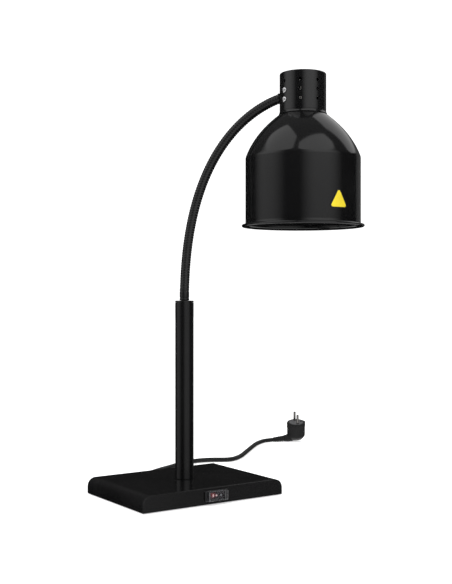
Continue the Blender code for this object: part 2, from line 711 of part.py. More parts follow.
def make_holder(head):
    axis = (HEAD_X, HEAD_Y, 0)
    stem_bore = STEM_RADIUS + GAP
    turned("lamp_holder", [(stem_bore, HOLDER_TOP), (0.0155, HOLDER_TOP), (0.0195, HOLDER_TOP - 0.002),
                           (0.0205, HOLDER_TOP - 0.016), (HOLDER_RADIUS, HOLDER_TOP - 0.018),
                           (HOLDER_RADIUS, HOLDER_BOTTOM + 0.0015), (HOLDER_RADIUS - 0.0015, HOLDER_BOTTOM),
                           (HOLDER_BORE, HOLDER_BOTTOM), (HOLDER_BORE, HOLDER_SEAT),
                           (stem_bore, HOLDER_SEAT)],
           ceramic, head, axis, closed=True, steps=32)
    low, high = STEM_ENDS
    turned("holder_stem", [(STEM_RADIUS, high), (STEM_RADIUS, low), (STEM_BORE, low), (STEM_BORE, high)],
           steel, head, axis, closed=True, steps=16)
    hex_nut("holder_nut", 0.015, 0.0035, stem_bore, steel, head,
            (HEAD_X, HEAD_Y, BRACKET_TOP + GAP + 0.00175))


def make_lamp(head):
    """Screw cap and blown glass, open to each other."""
    lamp_empty = empty("lamp_slide", head, (HEAD_X, HEAD_Y, HOLDER_BOTTOM))
    axis = (HEAD_X, HEAD_Y, 0)
    inner = CAP_RADIUS - CAP_WALL
    turned("bulb_cap", [(0, CAP_TOP + 0.0060), (0.004, CAP_TOP + 0.0060), (0.0052, CAP_TOP + 0.0035),
                        (inner, CAP_TOP + 0.0020), (CAP_RADIUS, CAP_TOP), (CAP_RADIUS, CAP_FOOT),
                        (inner, CAP_FOOT), (inner, CAP_TOP), (0, CAP_TOP + 0.0010)],
           brass, lamp_empty, axis, steps=32)
    glass = turned("bulb_glass", LAMP_OUTLINE, lamp_glass, lamp_empty, axis, steps=30)
    solidify(glass, GLASS)


# ---------------------------------------------------------------- switch

def make_switch():
    """Housing set in the front panel, a rocker that turns about an upright pin, a clear cover."""
    flange_front = FRONT - GAP - SWITCH_FLANGE[1]
    flange_centre = FRONT - GAP - SWITCH_FLANGE[1] / 2
    housing = part("switch_housing", box_mesh("switch_housing", SWITCH_FLANGE), black_plastic, root,
                   (0, flange_centre, SWITCH_HEIGHT))
    body = cutter("switch_body", box_mesh("switch_body", (SWITCH_BODY[0], SWITCH_BACK, SWITCH_BODY[1])),
                  root, (0, FRONT - GAP - 0.001 + SWITCH_BACK / 2, SWITCH_HEIGHT))
    boolean(housing, body, "UNION")
    well = cutter("rocker_well", box_mesh("rocker_well", ROCKER_WELL), root,
                  (0, flange_front + ROCKER_WELL[1] / 2 - 0.001, SWITCH_HEIGHT))
    boolean(housing, well)
    pivot_y = FRONT + ROCKER_PIVOT
    bearing = 0.0119
    boolean(housing, cutter("pivot_holes", rod_mesh("pivot_holes", 0.0013, bearing, 12), root,
                            (0, pivot_y, SWITCH_HEIGHT - bearing / 2)))

    pivot = empty("rocker_pivot", root, (0, pivot_y, SWITCH_HEIGHT))
    tilt = Matrix.Rotation(-ROCKER_TILT, 4, "Z")
    half = ROCKER_HALF
    outline = [(-half, -0.0076), (0, -0.0060), (half, -0.0076), (half, -0.0045), (0.006, 0.002),
               (-0.006, 0.002), (-half, -0.0045)]
    rocker = part("rocker", outline_mesh("rocker", outline, ROCKER_HEIGHT), red_plastic, pivot,
                  (0, pivot_y, SWITCH_HEIGHT), tilt)
    pin_length = ROCKER_HEIGHT + 0.0018
    pin = cutter("rocker_pin", rod_mesh("rocker_pin", 0.001, pin_length, 10, ((0, 0, -pin_length / 2),)),
                 pivot, (0, pivot_y, SWITCH_HEIGHT), tilt)
    boolean(rocker, pin, "UNION")

    cover_half = (0.0168, 0.0074)
    reach = 0.0045
    bm = bmesh.new()
    bmesh.ops.create_cube(bm, size=1.0)
    bmesh.ops.scale(bm, vec=(2 * cover_half[0], reach, 2 * cover_half[1]), verts=bm.verts)
    back = [face for face in bm.faces if face.normal.y > 0.5]
    bmesh.ops.delete(bm, geom=back, context="FACES_ONLY")
    mesh = bpy.data.meshes.new("splash_cover")
    bm.to_mesh(mesh)
    bm.free()
    cover = part("splash_cover", mesh, clear_plastic, root,
                 (0, flange_front - GAP - reach / 2, SWITCH_HEIGHT))
    bevel(cover, 0.0012, 2)
    solidify(cover, 0.0006)


# ---------------------------------------------------------------- cord and plug

def gland_tip():
    return Vector((0, REAR + GAP + GLAND_LENGTH, GLAND_HEIGHT))


def plug_turn():
    return (Matrix.Rotation(PLUG_HEADING, 4, "Z") @ Matrix.Rotation(PLUG_PITCH, 4, "Y")
            @ Matrix.Rotation(PLUG_ROLL, 4, "X"))


def plug_place(x, y, z):
    """From the plug's own axes (X along the cord, Z along the pins) to the base's centre."""
    return Vector((*PLUG_SPOT, PLUG_AXIS_HEIGHT)) + plug_turn().to_3x3() @ Vector((x, y, z))


def smooth_route(points, spacing):
    """Points at even spacing on a Catmull-Rom curve through the given points."""
    ends = [points[0] * 2 - points[1]] + points + [points[-1] * 2 - points[-2]]
    fine = []
    for i in range(1, len(ends) - 2):
        p0, p1, p2, p3 = ends[i - 1:i + 3]
        for k in range(20):
            t = k / 20
            fine.append(0.5 * (2 * p1 + (p2 - p0) * t + (2 * p0 - 5 * p1 + 4 * p2 - p3) * t ** 2
                               + (3 * p1 - p0 - 3 * p2 + p3) * t ** 3))
    fine.append(points[-1])
    total = sum((b - a).length for a, b in zip(fine, fine[1:]))
    count = round(total / spacing)
    route = [fine[0]]
    travelled = 0.0
    for a, b in zip(fine, fine[1:]):
        piece = (b - a).length
        while len(route) < count and travelled + piece >= total * len(route) / count:
            share = (total * len(route) / count - travelled) / piece
            route.append(a.lerp(b, share))
        travelled += piece
    return route + [fine[-1]]


def make_cord():
    turned("cord_gland", [(0.0046, GLAND_LENGTH), (0.0056, GLAND_LENGTH), (0.0068, 0.004),
                          (0.0082, 0.002), (0.0082, 0), (0.006, 0), (0.006, -0.005), (0.0046, -0.005)],
           rubber, root, (0, REAR + GAP, GLAND_HEIGHT), along((0, 1, 0)), closed=True, steps=24)
    start = gland_tip() + Vector((0, GAP, 0))
    run_in = [plug_place(-RELIEF_SPAN[0] - back, 0, 0) for back in (0.018, GAP)]
    route = smooth_route([start] + [Vector(p) for p in CORD_ROUTE] + run_in, 0.018)
    curve = tube_curve("power_cord", route, CORD_RADIUS, caps=True, resolution=3)
    cord = bpy.data.objects.new("power_cord", curve)
    curve.materials.append(rubber)
    lamp.objects.link(cord)
    cord.parent = root


def make_plug():
    turn = plug_turn()
    sideways = turn @ along((1, 0, 0))
    length = RELIEF_SPAN[0] - RELIEF_SPAN[1]
    turned("plug_relief", [(0, length), (RELIEF_RADII[1], length), (RELIEF_RADII[0], 0), (0, 0)],
           rubber, root, plug_place(-RELIEF_SPAN[0], 0, 0), sideways, steps=16)

    core = PLUG_RADIUS - PLUG_CHAMFER
    plug = turned("plug_body", [(0, PLUG_FACE), (PLUG_RADIUS - 0.0008, PLUG_FACE),
                                (PLUG_RADIUS, PLUG_FACE - 0.0008), (PLUG_RADIUS, -PLUG_BACK + PLUG_CHAMFER),
                                (core, -PLUG_BACK), (0, -PLUG_BACK)],
                  black_plastic, root, plug_place(0, 0, 0), turn, steps=32)
    boss_length = 0.012
    boss = cutter("plug_boss", rod_mesh("plug_boss", PLUG_BACK, boss_length, 16), root,
                  plug_place(-RELIEF_SPAN[1] + GAP, 0, 0), sideways)
    boolean(plug, boss, "UNION")
    sink = 0.006
    pins = [(0, sy * PIN_SPACING / 2, 0) for sy in (-1, 1)]
    boolean(plug, cutter("pin_sockets", rod_mesh("pin_sockets", PIN_RADIUS + GAP, 0.02, 12, pins), root,
                         plug_place(0, 0, PLUG_FACE - sink), turn))
    boolean(plug, cutter("earth_socket", rod_mesh("earth_socket", 0.0024, 0.02, 12), root,
                         plug_place(0.0105, 0, PLUG_FACE - 0.012), turn))
    tip = PLUG_FACE + PIN_LENGTH
    pin = [(0, tip), (PIN_RADIUS - 0.0012, tip), (PIN_RADIUS, tip - 0.0015),
           (PIN_RADIUS, PLUG_FACE - sink + GAP), (0, PLUG_FACE - sink + GAP)]
    for number, (x, y, _) in enumerate(pins, 1):
        turned(f"plug_pin_{number}", pin, chrome, root, plug_place(x, y, 0), turn, steps=14)


clear_scene()
lamp = new_collection("heat_lamp")
cutters = new_collection("cutters")

black_gloss = material("black_gloss", (0.012, 0.012, 0.013), 0.22)
black_satin = material("black_satin", (0.018, 0.018, 0.019), 0.4)
black_plastic = material("black_plastic", (0.015, 0.015, 0.016), 0.45)
rubber = material("rubber", (0.02, 0.02, 0.02), 0.7)
dark_steel = material("dark_steel", (0.08, 0.08, 0.085), 0.5, 1.0)
steel = material("steel", (0.5, 0.5, 0.5), 0.35, 1.0)
chrome = material("chrome", (0.8, 0.8, 0.8), 0.12, 1.0)
brass = material("brass", (0.7, 0.55, 0.3), 0.3, 1.0)
ceramic = material("ceramic", (0.85, 0.84, 0.8), 0.35)
white_plastic = material("white_plastic", (0.8, 0.8, 0.78), 0.5)
red_plastic = material("red_plastic", (0.55, 0.03, 0.04), 0.3)
clear_plastic = material("clear_plastic", (0.8, 0.8, 0.8), 0.1, alpha=0.3)
yellow = material("yellow", (0.9, 0.75, 0.05), 0.5)
lamp_glass = material("lamp_glass", (0.8, 0.78, 0.75), 0.08, alpha=0.6)

root = empty("base_centre", None, (0, 0, 0))
root.location = (BASE_X, BASE_Y, 0)
make_base()
make_column()
head = make_hose()
make_inlet(head)
make_neck(head)
make_shade(head)
make_label(head)
make_bracket(head)
make_holder(head)
make_lamp(head)
make_switch()
make_cord()
make_plug()
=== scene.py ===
# A black table-top heat lamp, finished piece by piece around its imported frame.
# Metres, +Z up, the table at z = 0.
import math

import bmesh
import bpy
from mathutils import Matrix, Vector


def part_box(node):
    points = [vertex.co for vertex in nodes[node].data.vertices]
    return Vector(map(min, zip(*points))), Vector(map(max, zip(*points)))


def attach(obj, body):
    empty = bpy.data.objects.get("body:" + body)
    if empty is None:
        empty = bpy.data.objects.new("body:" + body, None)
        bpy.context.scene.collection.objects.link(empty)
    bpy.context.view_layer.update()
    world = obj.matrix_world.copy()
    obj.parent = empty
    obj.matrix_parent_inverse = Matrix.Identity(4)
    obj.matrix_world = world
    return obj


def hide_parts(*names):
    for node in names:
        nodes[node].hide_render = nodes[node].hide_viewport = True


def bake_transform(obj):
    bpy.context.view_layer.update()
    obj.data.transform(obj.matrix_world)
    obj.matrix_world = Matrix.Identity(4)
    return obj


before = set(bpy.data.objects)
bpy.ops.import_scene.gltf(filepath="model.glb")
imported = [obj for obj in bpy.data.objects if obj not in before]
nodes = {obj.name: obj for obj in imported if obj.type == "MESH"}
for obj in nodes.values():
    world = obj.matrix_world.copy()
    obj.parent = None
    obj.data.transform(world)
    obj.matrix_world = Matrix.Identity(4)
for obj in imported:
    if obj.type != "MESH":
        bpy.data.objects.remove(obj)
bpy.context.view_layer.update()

gap = 0.0003                       # between pieces that touch
upright = Matrix.Rotation(math.radians(90), 4, "X")      # stands up a mesh made lying in XY

baseLow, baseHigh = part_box("base_cover")
shadeLow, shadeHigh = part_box("shade")
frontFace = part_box("front_panel")[0].y
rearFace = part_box("rear_panel")[1].y
baseMiddle = Vector(((baseLow.x + baseHigh.x) / 2, (baseLow.y + baseHigh.y) / 2, 0))
headMiddle = Vector(((shadeLow.x + shadeHigh.x) / 2, (shadeLow.y + shadeHigh.y) / 2, 0))


# Camera: level, from the front left, a little above the base
view = {"back": Vector((-0.7879, -1.2715, 0.3053)), "heading": 34.19, "lens": 61.0}

cameraData = bpy.data.cameras.new("portraitCamera")
cameraData.lens = view["lens"]
cameraData.sensor_width = 36
camera = bpy.data.objects.new("portraitCamera", cameraData)
camera.location = baseMiddle + view["back"]
camera.rotation_euler = (math.radians(90), 0, -math.radians(view["heading"]))
bpy.context.scene.collection.objects.link(camera)
bpy.context.scene.camera = camera
bpy.context.scene.view_settings.view_transform = "Standard"


# Points, profiles and meshes

def smoothLine(points, perSpan=20):
    # Catmull-Rom through every point
    ends = [points[0] * 2 - points[1]] + points + [points[-1] * 2 - points[-2]]
    line = []
    for i in range(1, len(ends) - 2):
        a, b, c, d = ends[i - 1:i + 3]
        for k in range(perSpan):
            t = k / perSpan
            line.append(0.5 * (2 * b + (c - a) * t + (2 * a - 5 * b + 4 * c - d) * t ** 2
                               + (3 * b - a - 3 * c + d) * t ** 3))
    return line + [points[-1]]


def lineLength(line):
    return sum((b - a).length for a, b in zip(line, line[1:]))


def evenLine(line, spacing):
    # the same line with evenly spaced points
    total = lineLength(line)
    count = round(total / spacing)
    spaced = [line[0]]
    travelled = 0.0
    for a, b in zip(line, line[1:]):
        step = (b - a).length
        while len(spaced) < count and travelled + step >= total * len(spaced) / count:
            spaced.append(a.lerp(b, (total * len(spaced) / count - travelled) / step))
        travelled += step
    return spaced + [line[-1]]


def filleted(points, closed=False, steps=5):
    # (x, y) or (x, y, round): every corner with a round becomes a small curve
    line = []
    last = len(points) - 1
    for i, point in enumerate(points):
        corner = Vector(point[:2])
        size = point[2] if len(point) > 2 else 0
        if not size or (not closed and i in (0, last)):
            line.append(corner)
            continue
        before = Vector(points[i - 1][:2]) - corner
        after = Vector(points[(i + 1) % len(points)][:2]) - corner
        start = corner + before.normalized() * min(size, before.length * 0.49)
        end = corner + after.normalized() * min(size, after.length * 0.49)
        for k in range(steps + 1):
            t = k / steps
            line.append(start * (1 - t) ** 2 + corner * (2 * t * (1 - t)) + end * t ** 2)
    return line


def sheetLoop(line, thickness, roundStart=True, endSteps=6):
    # a sheet's section: the line, its far side at one thickness to the right, half-round edges
    normals = []
    for i in range(len(line)):
        before = (line[i] - line[i - 1]).normalized() if i else (line[1] - line[0]).normalized()
        after = (line[i + 1] - line[i]).normalized() if i < len(line) - 1 else before
        turn = (before + after).normalized()
        side = Vector((turn.y, -turn.x))
        normals.append(side / max(0.5, side.dot(Vector((before.y, -before.x)))))
    far = [p + n * thickness for p, n in zip(line, normals)]

    def halfRound(centre, start, sign):
        arm = start - centre
        turned = []
        for k in range(1, endSteps):
            a = sign * math.pi * k / endSteps
            turned.append(centre + Vector((arm.x * math.cos(a) - arm.y * math.sin(a),
                                           arm.x * math.sin(a) + arm.y * math.cos(a))))
        return turned

    loop = list(line) + halfRound((line[-1] + far[-1]) / 2, line[-1], -1) + far[::-1]
    if roundStart:
        loop += halfRound((line[0] + far[0]) / 2, far[0], -1)
    return loop


def closedMesh(bm, name, sharp=32):
    bmesh.ops.remove_doubles(bm, verts=bm.verts, dist=0.000002)
    bmesh.ops.recalc_face_normals(bm, faces=bm.faces)
    mesh = bpy.data.meshes.new(name)
    bm.to_mesh(mesh)
    bm.free()
    mesh.shade_smooth()
    mesh.set_sharp_from_angle(angle=math.radians(sharp))
    return mesh


def turnedMesh(name, line, steps=96, closed=False, sharp=32):
    # a (radius, height) line turned about Z
    bm = bmesh.new()
    verts = [bm.verts.new((p[0], 0, p[1])) for p in line]
    edges = [bm.edges.new(pair) for pair in zip(verts, verts[1:])]
    if closed:
        edges.append(bm.edges.new((verts[-1], verts[0])))
    bmesh.ops.spin(bm, geom=verts + edges, axis=(0, 0, 1), cent=(0, 0, 0),
                   angle=2 * math.pi, steps=steps, use_merge=True)
    return closedMesh(bm, name, sharp)


def ringMesh(name, rings, capped=True, sharp=32):
    # a skin over rings of points, each with the same count
    bm = bmesh.new()
    rows = [[bm.verts.new(p) for p in ring] for ring in rings]
    for low, high in zip(rows, rows[1:]):
        for i in range(len(low)):
            j = (i + 1) % len(low)
            bm.faces.new((low[i], low[j], high[j], high[i]))
    if capped:
        bm.faces.new(rows[0][::-1])
        bm.faces.new(rows[-1])
    return closedMesh(bm, name, sharp)


def plateMesh(name, outline, thickness, edge=0.0, segments=2):
    # a flat plate in XY, its broken edges made with a bevel
    bm = bmesh.new()
    face = bm.faces.new([bm.verts.new((p[0], p[1], -thickness / 2)) for p in outline])
    top = bmesh.ops.extrude_face_region(bm, geom=[face])
    bmesh.ops.translate(bm, vec=(0, 0, thickness),
                        verts=[v for v in top["geom"] if isinstance(v, bmesh.types.BMVert)])
    if edge:
        bmesh.ops.recalc_face_normals(bm, faces=bm.faces)
        rims = [e for e in bm.edges if e.calc_face_angle(0) > math.radians(50)]
        bmesh.ops.bevel(bm, geom=rims, offset=edge, segments=segments, affect="EDGES",
                        profile=0.5, clamp_overlap=True)
    return closedMesh(bm, name)


def boxMesh(name, size, edge, segments=3):
    bm = bmesh.new()
    bmesh.ops.create_cube(bm, size=1.0)
    bmesh.ops.scale(bm, vec=size, verts=bm.verts)
    bmesh.ops.bevel(bm, geom=bm.edges[:], offset=edge, segments=segments, affect="EDGES",
                    profile=0.5, clamp_overlap=True)
    return closedMesh(bm, name)


def roundedRectangle(width, height, corner, steps=8):
    outline = []
    for sx, sy, first in ((1, 1, 0), (-1, 1, 90), (-1, -1, 180), (1, -1, 270)):
        for k in range(steps + 1):
            a = math.radians(first + 90 * k / steps)
            outline.append((sx * (width / 2 - corner) + corner * math.cos(a),
                            sy * (height / 2 - corner) + corner * math.sin(a)))
    return outline


def moved(mesh, matrix):
    mesh.transform(matrix)
    return mesh


def at(*place):
    return Matrix.Translation(Vector(place))


def turnTo(direction):
    # takes +Z to a direction
    return Vector(direction).to_track_quat("Z", "Y").to_matrix().to_4x4()


def cutBy(mesh, tools, operation="DIFFERENCE"):
    # the mesh after an exact Boolean with each tool
    for tool in tools:
        body = bpy.data.objects.new("cutBody", mesh)
        blade = bpy.data.objects.new("cutBlade", tool)
        for obj in (body, blade):
            bpy.context.scene.collection.objects.link(obj)
        change = body.modifiers.new("cut", "BOOLEAN")
        change.operation = operation
        change.solver = "EXACT"
        change.object = blade
        graph = bpy.context.evaluated_depsgraph_get()
        done = bpy.data.meshes.new_from_object(body.evaluated_get(graph))
        done.name = mesh.name
        for obj in (body, blade):
            bpy.data.objects.remove(obj, do_unlink=True)
        mesh = done
    mesh.materials.clear()
    mesh.shade_smooth()
    mesh.set_sharp_from_angle(angle=math.radians(32))
    return mesh


def joined(name, meshes):
    bm = bmesh.new()
    for mesh in meshes:
        bm.from_mesh(mesh)
    mesh = bpy.data.meshes.new(name)
    bm.to_mesh(mesh)
    bm.free()
    return mesh


def addPiece(name, mesh, paint, body, stands=(), flat=False):
    obj = bpy.data.objects.new(name, mesh)
    bpy.context.scene.collection.objects.link(obj)
    obj.data.materials.clear()
    obj.data.materials.append(paint)
    if flat:             # wide faces stay flat right up to their small rounds
        shading = obj.modifiers.new("evenShading", "WEIGHTED_NORMAL")
        shading.keep_sharp = True
    if body:
        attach(obj, body)
    if stands:
        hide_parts(*stands)
    return obj


# Finishes

def newFinish(name, color, roughness, metal=0.0):
    mat = bpy.data.materials.new(name)
    mat.use_nodes = True
    shader = mat.node_tree.nodes["Principled BSDF"]
    shader.inputs["Base Color"].default_value = (*color, 1)
    shader.inputs["Roughness"].default_value = roughness
    shader.inputs["Metallic"].default_value = metal
    return mat, mat.node_tree, shader


def objectNoise(tree, scale, detail=2.0, stretch=(1, 1, 1)):
    place = tree.nodes.new("ShaderNodeTexCoord")
    size = tree.nodes.new("ShaderNodeMapping")
    size.inputs["Scale"].default_value = stretch
    noise = tree.nodes.new("ShaderNodeTexNoise")
    noise.inputs["Scale"].default_value = scale
    noise.inputs["Detail"].default_value = detail
    tree.links.new(place.outputs["Object"], size.inputs["Vector"])
    tree.links.new(size.outputs["Vector"], noise.inputs["Vector"])
    return noise.outputs["Fac"]


def ranged(tree, value, low, high, fromLow=0.3, fromHigh=0.7):
    change = tree.nodes.new("ShaderNodeMapRange")
    change.inputs["From Min"].default_value = fromLow
    change.inputs["From Max"].default_value = fromHigh
    change.inputs["To Min"].default_value = low
    change.inputs["To Max"].default_value = high
    tree.links.new(value, change.inputs["Value"])
    return change.outputs["Result"]


def varyRoughness(tree, shader, scale, low, high, stretch=(1, 1, 1)):
    tree.links.new(ranged(tree, objectNoise(tree, scale, 3, stretch), low, high),
                   shader.inputs["Roughness"])


def varyColor(tree, shader, scale, dark, light, stretch=(1, 1, 1)):
    ramp = tree.nodes.new("ShaderNodeValToRGB")
    ramp.color_ramp.elements[0].position = 0.35
    ramp.color_ramp.elements[0].color = (*dark, 1)
    ramp.color_ramp.elements[1].position = 0.65
    ramp.color_ramp.elements[1].color = (*light, 1)
    tree.links.new(objectNoise(tree, scale, 4, stretch), ramp.inputs["Fac"])
    tree.links.new(ramp.outputs["Color"], shader.inputs["Base Color"])


def addGrain(tree, shader, scale, depth, strength, stretch=(1, 1, 1), detail=2.0):
    bump = tree.nodes.new("ShaderNodeBump")
    bump.inputs["Strength"].default_value = strength
    bump.inputs["Distance"].default_value = depth
    tree.links.new(objectNoise(tree, scale, detail, stretch), bump.inputs["Height"])
    tree.links.new(bump.outputs["Normal"], shader.inputs["Normal"])


def makeEnamel(name, gloss):
    # deep black stoved enamel: even, with a faint orange peel
    mat, tree, shader = newFinish(name, (0.005, 0.005, 0.0052), gloss)
    varyColor(tree, shader, 14, (0.0033, 0.0033, 0.0035), (0.0046, 0.0046, 0.0048))
    varyRoughness(tree, shader, 22, gloss * 0.85, gloss * 1.2)
    addGrain(tree, shader, 420, 0.00012, 0.035)
    return mat


def makeMetal(name, color, low, high, stretch=(1, 1, 1), grain=0.06):
    mat, tree, shader = newFinish(name, color, (low + high) / 2, 1.0)
    varyColor(tree, shader, 60, [c * 0.88 for c in color], color, stretch)
    varyRoughness(tree, shader, 90, low, high, stretch)
    addGrain(tree, shader, 900, 0.0001, grain, stretch)
    return mat


def makeRubber(name, shade, rough):
    mat, tree, shader = newFinish(name, (shade,) * 3, rough)
    shader.inputs["Specular IOR Level"].default_value = 0.3
    varyColor(tree, shader, 45, (shade * 0.75,) * 3, (shade * 1.25,) * 3)
    varyRoughness(tree, shader, 70, rough - 0.07, rough + 0.07)
    addGrain(tree, shader, 1400, 0.0001, 0.12, detail=3)
    return mat


def makeMoulded(name, color, rough, grain=0.15, shine=0.5):
    # spark-eroded moulding surface
    mat, tree, shader = newFinish(name, color, rough)
    shader.inputs["Specular IOR Level"].default_value = shine
    varyColor(tree, shader, 30, [c * 0.85 for c in color], [min(1, c * 1.1) for c in color])
    varyRoughness(tree, shader, 120, rough - 0.05, rough + 0.06)
    addGrain(tree, shader, 2600, 0.00006, grain, detail=3)
    return mat


def makeLitRed():
    # smoked red rocker, the pilot light under its left half
    mat, tree, shader = newFinish("litRed", (0.30, 0.02, 0.03), 0.22)
    place = tree.nodes.new("ShaderNodeTexCoord")
    away = tree.nodes.new("ShaderNodeVectorMath")
    away.operation = "DISTANCE"
    away.inputs[1].default_value = pilotSpot
    tree.links.new(place.outputs["Object"], away.inputs[0])
    glow = ranged(tree, away.outputs["Value"], 1.0, 0.0, 0.0008, 0.0078)
    # the same glow also lightens the base colour from near black to bright red: painted light from the pilot,
    # besides its emission
    ramp = tree.nodes.new("ShaderNodeValToRGB")
    ramp.color_ramp.elements[0].color = (0.045, 0.030, 0.034, 1)
    ramp.color_ramp.elements[1].color = (0.62, 0.075, 0.09, 1)
    tree.links.new(glow, ramp.inputs["Fac"])
    tree.links.new(ramp.outputs["Color"], shader.inputs["Base Color"])
    shader.inputs["Emission Color"].default_value = (1.0, 0.16, 0.15, 1)
    tree.links.new(ranged(tree, glow, 0.0, 1.1, 0.35, 1.0), shader.inputs["Emission Strength"])
    addGrain(tree, shader, 800, 0.00005, 0.05)
    return mat


def makeLitMark():
    # a mark with the pilot light behind it
    mat = makeMoulded("litMark", (0.90, 0.74, 0.72), 0.35, 0.05)
    shader = mat.node_tree.nodes["Principled BSDF"]
    shader.inputs["Emission Color"].default_value = (1.0, 0.62, 0.60, 1)
    shader.inputs["Emission Strength"].default_value = 0.9
    return mat


def makeClearBoot():
    # soft clear moulding over the rocker
    mat, tree, shader = newFinish("clearBoot", (0.50, 0.51, 0.53), 0.10)
    shader.inputs["Transmission Weight"].default_value = 1.0
    shader.inputs["IOR"].default_value = 1.38
    varyRoughness(tree, shader, 160, 0.10, 0.22)
    addGrain(tree, shader, 500, 0.0001, 0.08)
    return mat


def makeFrosted():
    mat, tree, shader = newFinish("frostedGlass", (0.93, 0.88, 0.84), 0.38)
    shader.inputs["Transmission Weight"].default_value = 0.75
    shader.inputs["IOR"].default_value = 1.48
    varyRoughness(tree, shader, 260, 0.32, 0.46)
    addGrain(tree, shader, 1800, 0.00008, 0.10)
    return mat


pilotSpot = Vector((baseMiddle.x - 0.0066, frontFace - 0.0060, 0.0141))       # behind the rocker's left half
enamel = makeEnamel("stovedEnamel", 0.14)
shadeEnamel = makeEnamel("shadeEnamel", 0.10)
hoseLacquer = makeEnamel("hoseLacquer", 0.30)
brightSteel = makeMetal("zincSteel", (0.60, 0.60, 0.61), 0.22, 0.40, (1, 1, 6))
plateSteel = makeMetal("plateSteel", (0.11, 0.11, 0.115), 0.40, 0.60, (8, 1, 1), 0.12)
chrome = makeMetal("chromePlate", (0.86, 0.86, 0.87), 0.05, 0.11, grain=0.02)
pinSteel = makeMetal("pinPlate", (0.26, 0.25, 0.24), 0.16, 0.30)
nickel = makeMetal("nickelBrass", (0.72, 0.67, 0.56), 0.16, 0.30)
silvering = makeMetal("lampSilvering", (0.88, 0.87, 0.85), 0.06, 0.14, grain=0.03)
rubber = makeRubber("footRubber", 0.014, 0.62)
cordRubber = makeRubber("cordSheath", 0.0065, 0.46)
blackMoulding = makeMoulded("blackMoulding", (0.010, 0.010, 0.0105), 0.40)
plugMoulding = makeMoulded("plugMoulding", (0.006, 0.006, 0.0063), 0.34, shine=0.28)
greyMoulding = makeMoulded("greyMoulding", (0.085, 0.085, 0.088), 0.42)
ribMoulding = makeMoulded("ribMoulding", (0.085, 0.085, 0.088), 0.25)
whiteMoulding = makeMoulded("whiteMoulding", (0.78, 0.78, 0.75), 0.42)
porcelain = makeMoulded("glazedPorcelain", (0.84, 0.82, 0.77), 0.14, 0.03)
yellowFilm = makeMoulded("yellowFilm", (0.70, 0.55, 0.012), 0.30, 0.05)
blackInk = makeMoulded("blackFilm", (0.012, 0.012, 0.012), 0.30, 0.05)
whiteInk = makeMoulded("whiteMark", (0.85, 0.86, 0.88), 0.35, 0.05)
solder = makeMetal("solderTip", (0.55, 0.54, 0.52), 0.30, 0.45)
litRed = makeLitRed()
litInk = makeLitMark()
clearBoot = makeClearBoot()
frosted = makeFrosted()
print("finishes mixed")


# Mains cord: from the gland behind the base to its plug
cordMake = {"radius": 0.004, "length": 0.52, "spacing": 0.004, "sides": 5}
glandMake = {"height": 0.0125, "length": 0.022}
plugMake = {"spot": (0.4685, 0.3231, 0.0088), "heading": -20.0, "pitch": -4.5, "roll": 14.0,
            "radius": 0.01825, "back": 0.0060, "face": 0.0325, "taper": 0.0115, "narrow": (0.34, 0.70),
            "insert": 0.0138, "insertDepth": 0.0010, "flutes": 36, "fluteDepth": 0.00045, "sides": 216,
            "boss": (0.0069, 0.0078), "pinSpread": 0.0095, "pinRadius": 0.0024, "pinLength": 0.019,
            "earthSpread": 0.0105, "clipWidth": 0.0042, "reliefEnd": 0.0485, "reliefStart": 0.0245}

plugFrame = (at(*(baseMiddle + Vector(plugMake["spot"])))
             @ Matrix.Rotation(math.radians(plugMake["heading"]), 4, "Z")
             @ Matrix.Rotation(math.radians(plugMake["pitch"]), 4, "Y")
             @ Matrix.Rotation(math.radians(plugMake["roll"]), 4, "X"))
glandTip = Vector((baseMiddle.x, rearFace + gap + glandMake["length"], glandMake["height"]))

cordRoute = [
    (0.0006, 0.1160, 0.0122), (0.0050, 0.1290, 0.0103), (0.0150, 0.1420, 0.0076),
    (0.0340, 0.1590, 0.0052), (0.0613, 0.1774, 0.00415), (0.0896, 0.1917, 0.00405),
    (0.1133, 0.2042, 0.00405), (0.1356, 0.2136, 0.00405), (0.1535, 0.2189, 0.00405),
    (0.1684, 0.2189, 0.00405), (0.1816, 0.2163, 0.00405), (0.1932, 0.2110, 0.00405),
    (0.2036, 0.2039, 0.00405), (0.2160, 0.1985, 0.00405), (0.2310, 0.2010, 0.00405),
    (0.2560, 0.2175, 0.00405), (0.2860, 0.2450, 0.00405), (0.3207, 0.2782, 0.00405),
    (0.3540, 0.3095, 0.00405), (0.3790, 0.3295, 0.0042),
]


def makeCord():
    start = glandTip + Vector((0, gap, 0))
    runIn = [plugFrame @ Vector((-plugMake["reliefEnd"] - back, 0, 0)) for back in (0.018, gap)]
    line = [start] + [baseMiddle + Vector(p) for p in cordRoute] + runIn
    line = evenLine(smoothLine(line), cordMake["spacing"])
    curve = bpy.data.curves.new("mains_cord", "CURVE")
    curve.dimensions = "3D"
    curve.bevel_depth = cordMake["radius"]
    curve.bevel_resolution = cordMake["sides"]
    curve.use_fill_caps = True
    spline = curve.splines.new("POLY")
    spline.points.add(len(line) - 1)
    for spot, point in zip(spline.points, line):
        spot.co = (*point, 1)
    spline.use_smooth = True
    cord = bpy.data.objects.new("mains_cord", curve)
    bpy.context.scene.collection.objects.link(cord)
    curve.materials.append(cordRubber)
    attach(cord, "base")
    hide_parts("power_cord")
    print("cord length", round(lineLength(line), 4))
    return cord, start


